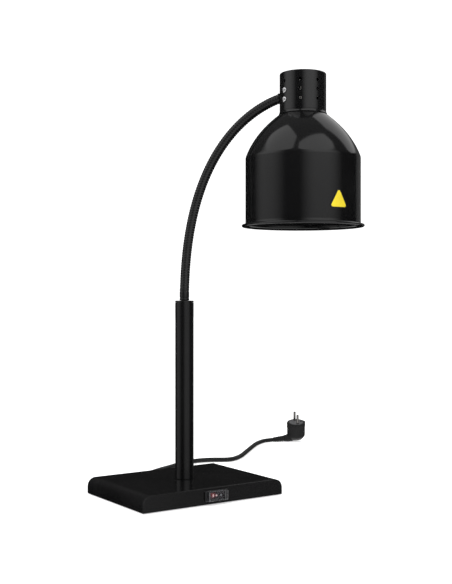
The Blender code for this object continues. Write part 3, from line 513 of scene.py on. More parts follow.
def makeGland():
    # a collar on the rear panel and a tapered sleeve with flex rings
    length = glandMake["length"]
    line = [(0.0046, -0.005), (0.0060, -0.005, 0.0003), (0.0060, 0.0), (0.0082, 0.0, 0.0002),
            (0.0082, 0.0020, 0.0008), (0.0069, 0.0038, 0.0006)]
    rings = 5
    for i in range(rings):
        low = 0.0052 + (length - 0.0066) * i / rings
        radius = 0.0067 - 0.0011 * i / rings
        line += [(radius, low, 0.0004), (radius, low + 0.0019, 0.0004),
                 (radius - 0.0007, low + 0.0022, 0.0002), (radius - 0.0007, low + 0.0030, 0.0002)]
    line += [(0.0056, length - 0.0014), (0.0056, length, 0.0005), (0.0046, length)]
    mesh = turnedMesh("cord_sleeve", filleted(line, steps=3), 48, closed=True)
    place = at(baseMiddle.x, rearFace + gap, glandMake["height"]) @ turnTo((0, 1, 0))
    return addPiece("cord_sleeve", moved(mesh, place), rubber, "base", ["cord_gland"])


def makeRelief():
    # the plug's bend relief: a taper with rings, thickening towards the plug
    span = plugMake["reliefEnd"] - plugMake["reliefStart"]
    rings = 6
    pitch = (span - 0.001) / rings
    line = [(0, 0), (0.0047, 0, 0.0004), (0.0047, 0.001)]
    for i in range(rings):
        low = 0.001 + pitch * i
        radius = 0.0049 + 0.0014 * (i + 1) / rings
        line += [(radius - 0.0008, low, 0.0002), (radius - 0.0008, low + pitch * 0.36, 0.0002),
                 (radius, low + pitch * 0.48, 0.0005), (radius, low + pitch * 0.96, 0.0005)]
    line += [(0.0055, span), (0, span)]
    mesh = turnedMesh("bend_relief", filleted(line, steps=3), 48)
    place = plugFrame @ at(-plugMake["reliefEnd"], 0, 0) @ turnTo((1, 0, 0))
    return addPiece("bend_relief", moved(mesh, place), plugMoulding, "base", ["plug_relief"])


def plugOutline():
    # (radius, height) down the plug's side: face, sealing groove, grip and the narrowing back
    radius, face, taper = plugMake["radius"], plugMake["face"], plugMake["taper"]
    shoulder = taper - plugMake["back"]
    grooved = radius - 0.0005
    line = filleted([(0.0, face - 0.0006), (radius - 0.0034, face - 0.0006, 0.0002), (radius - 0.0030, face),
                     (radius, face, 0.0014), (radius, face - 0.0030), (grooved, face - 0.0033, 0.0002),
                     (grooved, face - 0.0042, 0.0002), (radius, face - 0.0045), (radius, shoulder)], steps=5)
    line += [Vector((radius, shoulder - (taper * k / 12))) for k in range(1, 13)]
    spaced = []
    for a, b in zip(line, line[1:]):
        parts = max(1, round((b - a).length / 0.0016))
        spaced += [a.lerp(b, k / parts) for k in range(parts)]
    return spaced + [line[-1]]


def plugBody():
    # a fluted round body whose back narrows to a ridge along the cord
    taper = plugMake["taper"]
    shoulder = taper - plugMake["back"]
    gripTop = plugMake["face"] - 0.0060
    sides = plugMake["sides"]
    rings = []
    for r, z in plugOutline():
        gripped = min(1, max(0, (z + 0.001) / 0.004)) * min(1, max(0, (gripTop - z) / 0.0015))
        deep = max(0, min(1, (shoulder - z) / taper))
        lengthwise = 1 - plugMake["narrow"][0] * deep ** 1.15
        across = 1 - plugMake["narrow"][1] * deep ** 1.5
        if deep > 0.93:      # the ridge's rounded edge
            lengthwise -= 0.04 * (deep - 0.93) / 0.07
            across -= 0.06 * (deep - 0.93) / 0.07
        ring = []
        for k in range(sides):
            a = 2 * math.pi * k / sides
            dip = plugMake["fluteDepth"] * gripped * (0.5 - 0.5 * math.cos(plugMake["flutes"] * a)) ** 2
            reach = max(r, 0.00001) - dip
            ring.append((reach * math.cos(a) * lengthwise, reach * math.sin(a) * across, z))
        rings.append(ring)
    return ringMesh("plug_shell", rings[::-1], sharp=40)


def plugBoss():
    # the stepped block that takes the cord, flat where the plug rests
    small, large = plugMake["boss"]
    start = -plugMake["reliefStart"] + gap
    boss = turnedMesh("plug_boss", filleted([(0, start), (small, start, 0.0010), (small, start + 0.0040, 0.0008),
                                             (large, start + 0.0044, 0.0006), (large, -0.0100, 0.001),
                                             (0.0050, 0.002), (0, 0.002)]), 48)
    boss = moved(boss, turnTo((1, 0, 0)))
    for corner in boss.vertices:
        corner.co.z = max(corner.co.z, -plugMake["back"])
    return boss


def plugHoles(pins):
    face = plugMake["face"]
    pinHole = [(0, -0.007), (0.0028, -0.007), (0.0028, 0.002), (0, 0.002)]
    earthHole = [(0, -0.012), (0.0024, -0.012), (0.0024, -0.0012), (0.0031, 0.0004), (0.0031, 0.002),
                 (0, 0.002)]
    holes = [moved(turnedMesh("pinHole", pinHole, 32), at(x, y, face)) for x, y in pins]
    holes.append(moved(turnedMesh("earthHole", earthHole, 32), at(plugMake["earthSpread"], 0, face)))
    return holes


def makePlug():
    # angled plug: body with its cord boss, a lighter face, two pins and the earth clips
    radius, face = plugMake["radius"], plugMake["face"]
    pins = [(0, side * plugMake["pinSpread"]) for side in (-1, 1)]
    body = cutBy(plugBody(), [plugBoss()], "UNION")
    holes = plugHoles(pins)
    wide = plugMake["insert"]
    low = face - plugMake["insertDepth"]
    insert = turnedMesh("plug_insert", filleted([(0, face + 0.0004), (wide, face + 0.0004, 0.0003),
                                                 (wide, low), (0, low)]), 96)
    insert = cutBy(insert, holes)
    seat = turnedMesh("seat", [(0, low - gap), (wide + gap, low - gap), (wide + gap, face + 0.002),
                               (0, face + 0.002)], 96)
    body = cutBy(cutBy(body, holes), [seat])
    made = [addPiece("plug_shell", moved(body, plugFrame), plugMoulding, "base", ["plug_body"]),
            addPiece("plug_insert", moved(insert, plugFrame), greyMoulding, "base")]
    tip = face + plugMake["pinLength"]
    line = filleted([(0, tip), (plugMake["pinRadius"], tip, 0.0016), (plugMake["pinRadius"], face - 0.0057),
                     (0, face - 0.0057)], steps=8)
    for number, (x, y) in enumerate(pins, 1):
        mesh = moved(turnedMesh(f"plug_prong_{number}", line, 40), plugFrame @ at(x, y, 0))
        made.append(addPiece(f"plug_prong_{number}", mesh, pinSteel, "base", [f"plug_pin_{number}"]))
    # earth clips: bent strips over the rim, one each side
    over = radius + 0.00045
    for number, side in enumerate((-1, 1), 1):
        strip = filleted([(side * (radius - 0.0042), face + 0.0002), (side * over, face + 0.0002, 0.0008),
                          (side * over, face - 0.0105)], steps=4)
        outline = sheetLoop(strip if side < 0 else strip[::-1], 0.0006)
        mesh = plateMesh(f"earth_clip_{number}", [(p.x, p.y) for p in outline], plugMake["clipWidth"])
        made.append(addPiece(f"earth_clip_{number}", moved(mesh, plugFrame @ upright), pinSteel, "base"))
    return made


cord, cordStart = makeCord()
sleeve = makeGland()
relief = makeRelief()
plugPieces = makePlug()
print("cord and plug laid")


# Base: a bent cover, two end panels, feet and what is inside
switchMake = {"height": 0.0133, "flange": (0.0384, 0.0018, 0.0155), "body": (0.0330, 0.0245, 0.0124),
              "well": (0.0268, 0.0145, 0.0100), "tilt": math.radians(7), "pivot": 0.004, "rockerHalf": 0.0122,
              "rockerHeight": 0.0094, "bootWall": 0.0007, "ribs": (-0.0156, 0.0120, 0.0156)}
baseMake = {"bend": 0.013, "sheet": 0.0015, "panel": 0.0017, "edge": 0.00045, "arc": 18}


def baseOutline(inset=0.0):
    # end view as (x, z), over the top from the left foot to the right one
    half = (baseHigh.x - baseLow.x) / 2 - inset
    top = baseHigh.z - inset
    bend = baseMake["bend"] - inset
    line = [Vector((-half, baseLow.z))]
    for side, first in ((-1, 180), (1, 90)):
        for k in range(baseMake["arc"] + 1):
            a = math.radians(first - 90 * k / baseMake["arc"])
            line.append(Vector((side * (half - bend) + bend * math.cos(a), top - bend + bend * math.sin(a))))
    return line + [Vector((half, baseLow.z))]


def makeBase():
    bm = bmesh.new()
    half = (baseHigh.y - baseLow.y) / 2
    rows = []
    for y, shrink in ((-half, 1), (-half + baseMake["edge"], 0), (half - baseMake["edge"], 0), (half, 1)):
        outer = baseOutline(shrink * baseMake["edge"])
        inner = baseOutline(baseMake["sheet"] - shrink * baseMake["edge"] * 0.5)
        rows.append([bm.verts.new((p.x, y, p.y)) for p in outer + inner[::-1]])
    count = len(rows[0])
    for low, high in zip(rows, rows[1:]):
        for i in range(count):
            j = (i + 1) % count
            bm.faces.new((low[i], low[j], high[j], high[i]))
    for row in (rows[0], rows[-1]):
        for i in range(count // 2 - 1):
            bm.faces.new((row[i], row[i + 1], row[count - 2 - i], row[count - 1 - i]))
    cover = closedMesh(bm, "base_skin", 50)
    addPiece("base_skin", moved(cover, at(*baseMiddle)), enamel, "base", ["base_cover"],
             flat=True)

    opening = boxMesh("switchOpening", (0.0336, 0.0130, 0.02), 0.0004, 1)
    glandHole = turnedMesh("glandHole", [(0, -0.01), (0.0063, -0.01), (0.0063, 0.01), (0, 0.01)], 40)
    for name, y, tool, node in (("front_plate", frontFace + baseMake["panel"] / 2,
                                 moved(opening, at(0, switchMake["height"], 0)), "front_panel"),
                                ("rear_plate", rearFace - baseMake["panel"] / 2,
                                 moved(glandHole, at(0, glandMake["height"], 0)), "rear_panel")):
        plate = plateMesh(name, [(p.x, p.y) for p in baseOutline()], baseMake["panel"], baseMake["edge"])
        plate = cutBy(plate, [tool])
        addPiece(name, moved(plate, at(baseMiddle.x, y, 0) @ upright), enamel, "base", [node],
                 flat=True)

    foot = filleted([(0, 0.0025), (0.0069, 0.0025, 0.0002), (0.0070, 0.0012), (0.0062, 0.0, 0.0007),
                     (0.0030, 0.0, 0.0002), (0.0027, 0.0012, 0.0002), (0, 0.0012)], steps=4)
    for name in ("foot_front_left", "foot_front_right", "foot_rear_left", "foot_rear_right"):
        low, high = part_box(name)
        place = at((low.x + high.x) / 2, (low.y + high.y) / 2, 0)
        addPiece(name + "_pad", moved(turnedMesh(name + "_pad", foot, 48), place), rubber, "base", [name])


def screwMesh(name, headRadius, headHeight, shankRadius, shankLength):
    # pan head with a cross recess, head above z = 0
    line = [(0, headHeight)]
    for k in range(1, 9):
        a = math.radians(78 * k / 8)
        line.append((headRadius * math.sin(a), headHeight * math.cos(a)))
    line += [(headRadius, headHeight * 0.06), (headRadius * 0.97, 0), (shankRadius, 0)]
    threads = round(shankLength / 0.0012)
    for k in range(threads):
        low = -shankLength * k / threads
        line += [(shankRadius, low - 0.0002), (shankRadius * 0.84, low - 0.0006)]
    line += [(shankRadius * 0.7, -shankLength), (0, -shankLength)]
    mesh = turnedMesh(name, line, 40)
    blades = []
    for turn in (0, 90):
        blade = boxMesh("recess", (headRadius * 1.15, headRadius * 0.26, headHeight * 1.3), headRadius * 0.05, 1)
        blades.append(moved(blade, at(0, 0, headHeight) @ Matrix.Rotation(math.radians(turn + 22), 4, "Z")))
    return cutBy(mesh, blades)


def hungScrew(name, node, paint, body, head, shank):
    # a pan head screw driven up from below, where the frame has it; head and shank are (radius, length)
    low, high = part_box(node)
    place = at((low.x + high.x) / 2, (low.y + high.y) / 2, low.z + head[1]) @ Matrix.Rotation(math.pi, 4, "X")
    addPiece(name, moved(screwMesh(name, *head, *shank), place), paint, body, [node])


makeBase()
for number in range(1, 5):
    hungScrew(f"cover_screw_{number}", f"base_screw_{number}", brightSteel, "base", (0.003, 0.0016),
              (0.0013, 0.0078))
print("base bent and closed")


# Column: a plain tube with a cap that carries the gooseneck
columnMake = {"radius": 0.0140, "wall": 0.0012, "top": 0.2923, "capHeight": 0.0027}


def makeColumn():
    low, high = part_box("column_tube")
    wall = columnMake["wall"]
    radius = columnMake["radius"]
    tube = filleted([(radius, high.z, 0.0002), (radius, high.z - 0.002), (radius, high.z - 0.004),
                     (radius, low.z + 0.004), (radius, low.z + 0.002), (radius, low.z, 0.0003),
                     (radius - wall, low.z, 0.0002), (radius - wall, high.z, 0.0002)], closed=True)
    addPiece("column_barrel", moved(turnedMesh("column_barrel", tube, 120, closed=True), at(*baseMiddle)),
             enamel, "base", ["column_tube"])
    top = columnMake["top"]
    shoulder = top - columnMake["capHeight"]
    cap = filleted([(0.0052, top, 0.0003), (radius, top, 0.0009), (radius, shoulder, 0.0002),
                    (radius - wall - gap, shoulder), (radius - wall - gap, top - 0.018, 0.0004),
                    (0.0052, top - 0.018)], closed=True)
    addPiece("column_lid", moved(turnedMesh("column_lid", cap, 96, closed=True), at(*baseMiddle)),
             enamel, "base", ["column_cap"])


makeColumn()
print("column turned")


# Gooseneck: one wound hose, shown as lengths cut halfway between the joints
armMake = {"azimuth": math.radians(-45), "length": 0.356, "bends": ((28, 1.0), (44, 2.6)), "segments": 8,
           "ferruleLength": 0.0175, "ferruleRadius": 0.0072, "radius": 0.0071, "depth": 0.0007,
           "pitch": 0.0038, "samples": 8, "sides": 28}
hoseBodies = [f"hose_{i}" for i in range(1, 8)] + ["head"]
armOut = Vector((math.cos(armMake["azimuth"]), math.sin(armMake["azimuth"]), 0))
armAcross = Vector((-armOut.y, armOut.x, 0))


def armHeading(distance):
    # above level, a distance up from the column's top
    bend = sum(degrees * (distance / armMake["length"]) ** power for degrees, power in armMake["bends"])
    return math.radians(90 - bend)


def armPoint(distance):
    steps = 200
    step = distance / steps
    reach = 0.0
    height = columnMake["top"]
    for i in range(steps):
        angle = armHeading((i + 0.5) * step)
        reach += step * math.cos(angle)
        height += step * math.sin(angle)
    return baseMiddle + reach * armOut + Vector((0, 0, height))


def hoseRing(distance):
    # the wound surface's ring of points: a half-round coil that climbs as it turns
    centre = armPoint(distance)
    angle = armHeading(distance)
    raised = armOut * -math.sin(angle) + Vector((0, 0, math.cos(angle)))
    ring = []
    for k in range(armMake["sides"]):
        turn = 2 * math.pi * k / armMake["sides"]
        phase = distance / armMake["pitch"] - k / armMake["sides"]
        ridge = abs(math.sin(math.pi * phase)) ** 0.55
        radius = armMake["radius"] - armMake["depth"] * (1 - ridge)
        ring.append(centre + radius * (math.cos(turn) * armAcross + math.sin(turn) * raised))
    return ring


def makeHose():
    start = armMake["ferruleLength"] + gap
    pitch = (armMake["length"] - start) / armMake["segments"]
    reach = pitch * 0.46               # a distance to each side of a joint; the points there are worked out but not used
    last = armMake["length"] - 0.0031
    marks = [start - 0.0008] + [start + (i + 0.5) * pitch for i in range(armMake["segments"])] + [last]
    for i, (low, high) in enumerate(zip(marks, marks[1:])):
        count = max(2, round((high - low) / armMake["pitch"] * armMake["samples"]))
        rings = [hoseRing(low + (high - low) * k / count) for k in range(count + 1)]
        name = f"gooseneck_{i + 1}"
        mesh = ringMesh(name, rings, sharp=60)
        stands = [f"hose_segment_{i + 1}"] if i < armMake["segments"] else []
        if 0 < i < armMake["segments"]:
            piece = addPiece(name, mesh, hoseLacquer, None, stands)
            joint = start + i * pitch
            tuple(armPoint(joint - reach))
            tuple(armPoint(joint + reach))
            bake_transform(piece)
        else:
            addPiece(name, mesh, hoseLacquer, hoseBodies[0] if i == 0 else "head", stands)


def makeFerrule():
    foot = columnMake["top"] + gap
    top = columnMake["top"] + armMake["ferruleLength"]
    radius = armMake["ferruleRadius"]
    groove = radius - 0.0004
    line = filleted([(0.0049, foot - 0.015), (0.0049, foot), (radius, foot, 0.0004),
                     (radius, foot + 0.0032, 0.0002), (groove, foot + 0.0035, 0.0002),
                     (groove, foot + 0.0043, 0.0002), (radius, foot + 0.0046, 0.0002),
                     (radius, top - 0.0042, 0.0002), (groove, top - 0.0039, 0.0002),
                     (groove, top - 0.0031, 0.0002), (radius, top - 0.0028, 0.0002), (radius, top, 0.0008),
                     (0.0045, top, 0.0003), (0.0032, top - 0.001), (0.0032, foot - 0.015)], closed=True, steps=3)
    addPiece("hose_sleeve", moved(turnedMesh("hose_sleeve", line, 64, closed=True), at(*baseMiddle)),
             hoseLacquer, "hose_1", ["hose_ferrule"])


makeFerrule()
makeHose()
print("gooseneck wound")


# Neck: a vented cap over the lamp holder
neckMake = {"radius": 0.03435, "top": 0.6275, "bottom": 0.5688, "wall": 0.0012, "edge": 0.0032, "lip": 0.026,
            "hole": 0.0023, "rows": (0.6131, 0.5996, 0.5861), "inlet": 0.5918}


def inletPoint(radius):
    # on the arm's axis through the neck's wall, a radius out from the shade's axis
    return headMiddle + Vector((0, 0, neckMake["inlet"])) - radius * armOut


def makeNeck():
    radius = neckMake["radius"]
    line = filleted([(0, neckMake["top"]), (radius, neckMake["top"], neckMake["edge"]),
                     (radius, neckMake["top"] - 0.004), (radius, neckMake["top"] - 0.006),
                     (radius, neckMake["bottom"] + 0.006), (radius, neckMake["bottom"] + 0.004),
                     (radius, neckMake["bottom"], 0.0018), (neckMake["lip"], neckMake["bottom"])], steps=8)
    neck = turnedMesh("neck_shell", sheetLoop(line, neckMake["wall"], roundStart=False), 128, closed=True)
    tools = []
    for column in range(8):
        a = math.radians(45 * column)
        direction = Vector((math.cos(a), math.sin(a), 0))
        for number, row in enumerate(neckMake["rows"]):
            screwed = column in (0, 4) and number > 0
            if column == 3 and number > 0:
                continue
            bore = 0.0028 if screwed else neckMake["hole"]
            cutter = [(0, 0.024), (bore, 0.024), (bore, radius - 0.0004), (bore + 0.0005, radius + 0.0003),
                      (bore + 0.0005, 0.04), (0, 0.04)]
            tool = turnedMesh("ventTool", cutter, 28)
            tools.append(moved(tool, at(0, 0, row) @ turnTo(direction)))
    inlet = turnedMesh("inletTool", [(0, 0.024), (0.0062, 0.024), (0.0062, 0.04), (0, 0.04)], 40)
    tools.append(moved(inlet, at(0, 0, neckMake["inlet"]) @ turnTo(-armOut)))
    neck = cutBy(neck, [joined("neckTools", tools)])
    addPiece("neck_shell", moved(neck, at(*headMiddle)), shadeEnamel, "head", ["neck_housing"])

    # the seam where the neck stands on the dome
    foot = neckMake["bottom"]
    seam = filleted([(radius + 0.0001, foot + 0.0020), (radius + 0.0003, foot + 0.0006, 0.0016),
                     (radius + 0.0014, foot - 0.0017, 0.0003), (radius + 0.0001, foot - 0.0008)], closed=True)
    addPiece("neck_seam", moved(turnedMesh("neck_seam", seam, 128, closed=True), at(*headMiddle)), shadeEnamel,
             "head")

    for number in range(1, 5):
        low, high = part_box(f"neck_screw_{number}")
        direction = Vector((1 if number < 3 else -1, 0, 0))
        spot = headMiddle + direction * (radius + gap) + Vector((0, 0, (low.z + high.z) / 2))
        mesh = screwMesh(f"side_screw_{number}", 0.0042, 0.0026, 0.0024, 0.0076)
        addPiece(f"side_screw_{number}", moved(mesh, at(*spot) @ turnTo(direction)), chrome, "head",
                 [f"neck_screw_{number}"])

    collar = filleted([(0.0035, 0), (0.0059, 0, 0.0003), (0.0059, -0.0117), (0.0078, -0.0117, 0.0003),
                       (0.0078, -0.0144, 0.0009), (0.0068, -0.0144, 0.0003), (0.0035, -0.0144)], closed=True)
    place = at(*inletPoint(radius + gap - 0.0117)) @ turnTo(armOut)
    addPiece("inlet_collar", moved(turnedMesh("inlet_collar", collar, 64, closed=True), place), hoseLacquer,
             "head", ["hose_collar"])


# Shade: a spun dome on a straight wall, with a rolled rim
shadeMake = {"radius": 0.0848, "wall": 0.0015, "collar": 0.024, "domeStart": 0.033, "domeLength": 0.084,
             "slopes": (37, 70), "power": 1.3, "rimRadius": 0.0904, "rimBottom": 0.4011, "roll": 0.0019,
             "rollSteps": 12, "domeSteps": 44, "steps": 160}


def shadeLine():
    make = shadeMake
    top = neckMake["bottom"] - gap
    line = [(make["collar"], top), (make["domeStart"] - 0.0004, top, 0.0006)]
    radius, height = make["domeStart"], top - 0.0004
    line.append((radius, height))
    step = make["domeLength"] / make["domeSteps"]
    for i in range(make["domeSteps"]):
        share = ((i + 0.5) / make["domeSteps"]) ** make["power"]
        slope = math.radians(make["slopes"][0] + (make["slopes"][1] - make["slopes"][0]) * share)
        radius += step * math.cos(slope)
        height -= step * math.sin(slope)
        line.append((radius, height))
    line[-1] = (make["radius"] - 0.0002, line[-1][1], 0.0006)
    # the straight wall, with a ring near each end so that it shades flat
    lip = Vector((make["rimRadius"] - make["roll"], make["rimBottom"] + make["roll"]))
    wallFoot = lip.y + make["roll"]
    line += [(make["radius"], height - 0.0012), (make["radius"], height - 0.0030),
             (make["radius"], wallFoot + 0.0060), (make["radius"], wallFoot + 0.0045),
             (make["radius"] + 0.0001, wallFoot, 0.0016)]
    # the lip: out to the side, then rolled under
    for k in range(make["rollSteps"] + 1):
        turn = math.radians(90 - 180 * k / make["rollSteps"])
        line.append((lip.x + make["roll"] * math.cos(turn), lip.y + make["roll"] * math.sin(turn)))
    return filleted(line, steps=3)


def makeShade():
    loop = sheetLoop(shadeLine(), shadeMake["wall"], endSteps=6)
    shade = turnedMesh("shade_bell", loop, shadeMake["steps"], closed=True, sharp=15)
    addPiece("shade_bell", moved(shade, at(*headMiddle)), shadeEnamel, "head", ["shade"])
    for number in range(1, 4):
        hungScrew(f"collar_screw_{number}", f"shade_screw_{number}", brightSteel, "head", (0.0024, 0.0018),
                  (0.0014, 0.0058))


# Label: a plain triangle with a dark edge, wrapped on the shade's front
labelMake = {"width": 0.029, "height": 0.0265, "foot": 0.4238, "turn": math.radians(-2.5),
             "corner": 0.0036, "margin": 0.0011, "film": 0.00018}


def triangleOutline(inset):
    width = labelMake["width"] - inset * 3.4
    height = labelMake["height"] - inset * 3
    radius = labelMake["corner"] - inset
    half = width / 2 - radius
    rise = height - radius
    lean = math.degrees(math.atan2(rise - radius, half))
    corners = [((-half, radius), 90 + lean, 270), ((half, radius), -90, 90 - lean),
               ((0, rise), 90 - lean, 90 + lean)]
    points = []
    for (x, y), first, last in corners:
        for k in range(9):
            a = math.radians(first + (last - first) * k / 8)
            points.append(Vector((x + radius * math.cos(a), y + radius * math.sin(a) + inset)))
    fine = []
    for a, b in zip(points, points[1:] + points[:1]):
        parts = max(1, round((b - a).length / 0.001))
        fine += [a.lerp(b, k / parts) for k in range(parts)]
    return fine


def wrappedFilm(name, outline, lift):
    # the outline shrunk in rings to its middle, laid on the shade's wall
    middle = Vector((0, labelMake["height"] * 0.38))
    radius = shadeMake["radius"] + lift
    rings = []
    for out, share in ((lift - labelMake["film"], 1), (lift, 1), (lift, 0.8), (lift, 0.55), (lift, 0.3),
                       (lift, 0.02)):
        reach = shadeMake["radius"] + out
        ring = []
        for p in outline:
            q = middle + (p - middle) * share
            a = q.x / radius + labelMake["turn"]
            ring.append((reach * math.sin(a), -reach * math.cos(a), labelMake["foot"] + q.y))
        rings.append(ring)
    return ringMesh(name, rings, sharp=50)


def makeLabel():
    film = labelMake["film"]
    edge = wrappedFilm("label_edge", triangleOutline(0), gap + 2 * film)
    addPiece("label_edge", moved(edge, at(*headMiddle)), blackInk, "head", ["label_plate"])
    face = wrappedFilm("label_face", triangleOutline(labelMake["margin"]), gap + 3 * film)
    addPiece("label_face", moved(face, at(*headMiddle)), yellowFilm, "head")


makeNeck()
makeShade()
makeLabel()
print("head spun")


# Lamp holder and lamp: heights as they hang in the neck
lampMake = {"seat": 0.6060, "contactTop": 0.6045, "shell": (0.5777, 0.5980), "thread": (0.0126, 0.0005, 0.0036),
            "glass": 0.0010, "mirrorFoot": 0.4670, "sides": 64, "rows": 48,
            "outline": [(0.0129, 0.5772), (0.0131, 0.5737), (0.0165, 0.5695), (0.0205, 0.5575), (0.0290, 0.5335),
                        (0.0400, 0.5155), (0.0510, 0.4985), (0.0595, 0.4805), (0.0625, 0.4645),
                        (0.0605, 0.4505), (0.0520, 0.4385), (0.0300, 0.4295), (0, 0.4275)]}


def makeHolder():
    low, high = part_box("lamp_holder")
    line = filleted([(0.0053, high.z), (0.0155, high.z, 0.0008), (0.0195, high.z - 0.002, 0.001),
                     (0.0205, high.z - 0.016, 0.0006), (0.0225, high.z - 0.018, 0.0008),
                     (0.0225, low.z, 0.0016), (0.0139, low.z, 0.0006), (0.0139, lampMake["seat"]),
                     (0.0053, lampMake["seat"])], closed=True)
    addPiece("porcelain_holder", moved(turnedMesh("porcelain_holder", line, 96, closed=True), at(*headMiddle)),
             porcelain, "head", ["lamp_holder"])


def makeCap():
    # threaded shell: rings of points whose radius follows the thread as it turns, then the glass bead
    sides, rows = lampMake["sides"], lampMake["rows"]
    low, high = lampMake["shell"]
    middle, depth, pitch = lampMake["thread"]
    around = [2 * math.pi * k / sides for k in range(sides)]
    rings = []
    for row in range(rows + 1):
        z = low + (high - low) * row / rows
        fade = min(1, row / 8, (rows - row) / 8)
        ring = []
        for a in around:
            radius = middle + depth * fade * math.sin(2 * math.pi * (z / pitch) - a)
            ring.append((radius * math.cos(a), radius * math.sin(a), z))
        rings.append(ring)
    for radius, z in ((0.0118, high + 0.0017), (0.0090, high + 0.0031)):
        rings.append([(radius * math.cos(a), radius * math.sin(a), z) for a in around])
    addPiece("screw_cap", moved(ringMesh("screw_cap", rings), at(*headMiddle)), nickel, "bulb", ["bulb_cap"])
    top = lampMake["contactTop"]
    contact = filleted([(0, top), (0.0042, top, 0.0012), (0.0052, top - 0.0024, 0.0006), (0.0088, top - 0.0032)])
    addPiece("cap_contact", moved(turnedMesh("cap_contact", contact, 40), at(*headMiddle)), solder, "bulb")


def makeGlass():
    # one envelope, silvered from the neck to its widest part and frosted across the face
    outline = lampMake["outline"]
    line = [Vector((p.x, p.z)) for p in smoothLine([Vector((r, 0, z)) for r, z in outline], 8)]
    line[-1] = Vector((0, outline[-1][1]))
    split = next(i for i, p in enumerate(line) if p.y < lampMake["mirrorFoot"])
    back = sheetLoop(line[:split + 1], lampMake["glass"])
    face = sheetLoop(line[split:], lampMake["glass"], roundStart=False)
    face = [Vector((max(p.x, 0), p.y)) for p in face]
    addPiece("silvered_back", moved(turnedMesh("silvered_back", back, 112, closed=True), at(*headMiddle)),
             silvering, "bulb", ["bulb_glass"])
    addPiece("frosted_face", moved(turnedMesh("frosted_face", face, 112, closed=True), at(*headMiddle)),
             frosted, "bulb")


makeHolder()
makeCap()
makeGlass()
print("lamp fitted")


# Switch: bezel, lit rocker and its clear boot
def makeBezel():
    make = switchMake
    width, depth, height = make["flange"]
    flangeFront = frontFace - gap - depth
    bezel = plateMesh("switch_bezel", roundedRectangle(width, height, 0.0012), depth, 0.0005, 3)
    bezel = moved(bezel, at(baseMiddle.x, frontFace - gap - depth / 2, make["height"]) @ upright)
    case = moved(boxMesh("case", make["body"], 0.0005, 2),
                 at(baseMiddle.x, frontFace - gap - 0.001 + make["body"][1] / 2, make["height"]))
    well = moved(boxMesh("well", make["well"], 0.0004, 1),
                 at(baseMiddle.x, flangeFront + make["well"][1] / 2 - 0.001, make["height"]))
    bezel = cutBy(cutBy(bezel, [case], "UNION"), [well])
    addPiece("switch_bezel", bezel, blackMoulding, "base", ["switch_housing"], flat=True)


def rockerFace(x):
    # how far the rocker's hollow face stands in front of its pivot
    return -0.0060 - 0.0016 * (abs(x) / switchMake["rockerHalf"]) ** 1.6


def makeRocker():
    make = switchMake
    half = make["rockerHalf"]
    outline = [(-half, -0.0045), (-0.006, 0.002), (0.006, 0.002), (half, -0.0045), (half, -0.0072)]
    for k in range(21):
        x = (half - 0.0004) * (1 - k / 10)
        outline.append((x, rockerFace(x)))
    outline.append((-half, -0.0072))
    rocker = plateMesh("rocker_cap", [(x, -y) for x, y in outline][::-1], make["rockerHeight"], 0.0005, 3)
    pivot = at(baseMiddle.x, frontFace + make["pivot"], make["height"]) @ Matrix.Rotation(-make["tilt"], 4, "Z")
    flat = Matrix.Rotation(math.pi, 4, "X")
    addPiece("rocker_cap", moved(rocker, pivot @ flat), litRed, "rocker", ["rocker"])

    # marks on the rocker's face: a bar on the lit half, a ring on the other, the pilot's window between
    bar = boxMesh("bar", (0.0018, 0.0003, 0.0040), 0.00012, 2)
    hoop = filleted([(0.0006, -0.00015), (0.0014, -0.00015, 0.0001), (0.0014, 0.00015, 0.0001),
                     (0.0006, 0.00015)], closed=True)
    ring = moved(turnedMesh("ring", hoop, 40, closed=True), upright)
    lens = filleted([(0, 0.0003), (0.0013, 0.0003, 0.0003), (0.0013, -0.0001), (0, -0.0001)])
    window = moved(turnedMesh("window", lens, 32), upright)
    for name, mesh, x, paint in (("rocker_bar", bar, -0.0052, litInk), ("pilot_window", window, 0.0002, litInk),
                                 ("rocker_ring", ring, 0.0073, whiteInk)):
        addPiece(name, moved(mesh, pivot @ at(x, rockerFace(x) - 0.00012, 0)), paint, "rocker")


def makeBoot():
    # a clear box with soft corners, one grip rib at its left end and two at its right
    low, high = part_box("splash_cover")
    size = high - low
    middle = (low + high) / 2
    wall = switchMake["bootWall"]
    boot = plateMesh("clear_boot", roundedRectangle(size.x, size.z, 0.0022), size.y, 0.0008, 4)
    hollow = plateMesh("hollow", roundedRectangle(size.x - 2 * wall, size.z - 2 * wall, 0.0016), size.y,
                       0.0006, 3)
    boot = cutBy(boot, [moved(hollow, at(0, 0, -wall))])
    boot = moved(boot, at(*middle) @ upright)
    ribs = []
    for x in switchMake["ribs"]:
        rib = boxMesh("rib", (0.0014, 0.0008, size.z - 0.0016), 0.0003, 3)
        ribs.append(moved(rib, at(middle.x + x, low.y - 0.0004 - gap, middle.z)))
    addPiece("clear_boot", boot, clearBoot, "base", ["splash_cover"], flat=True)
    addPiece("boot_ribs", joined("boot_ribs", ribs), ribMoulding, "base")


makeBezel()
makeRocker()
makeBoot()
print("switch fitted")


# Pieces that keep their shape: broken edges and a finish
def finishNode(name, paint, edge=0.0003):
    node = nodes[name]
    node.data.materials.clear()
    node.data.materials.append(paint)
    if edge:
        broken = node.modifiers.new("brokenEdges", "BEVEL")
        broken.width = edge
        broken.segments = 2
        broken.limit_method = "ANGLE"
        broken.angle_limit = math.radians(50)
    node.data.shade_smooth()
    node.data.set_sharp_from_angle(angle=math.radians(32))


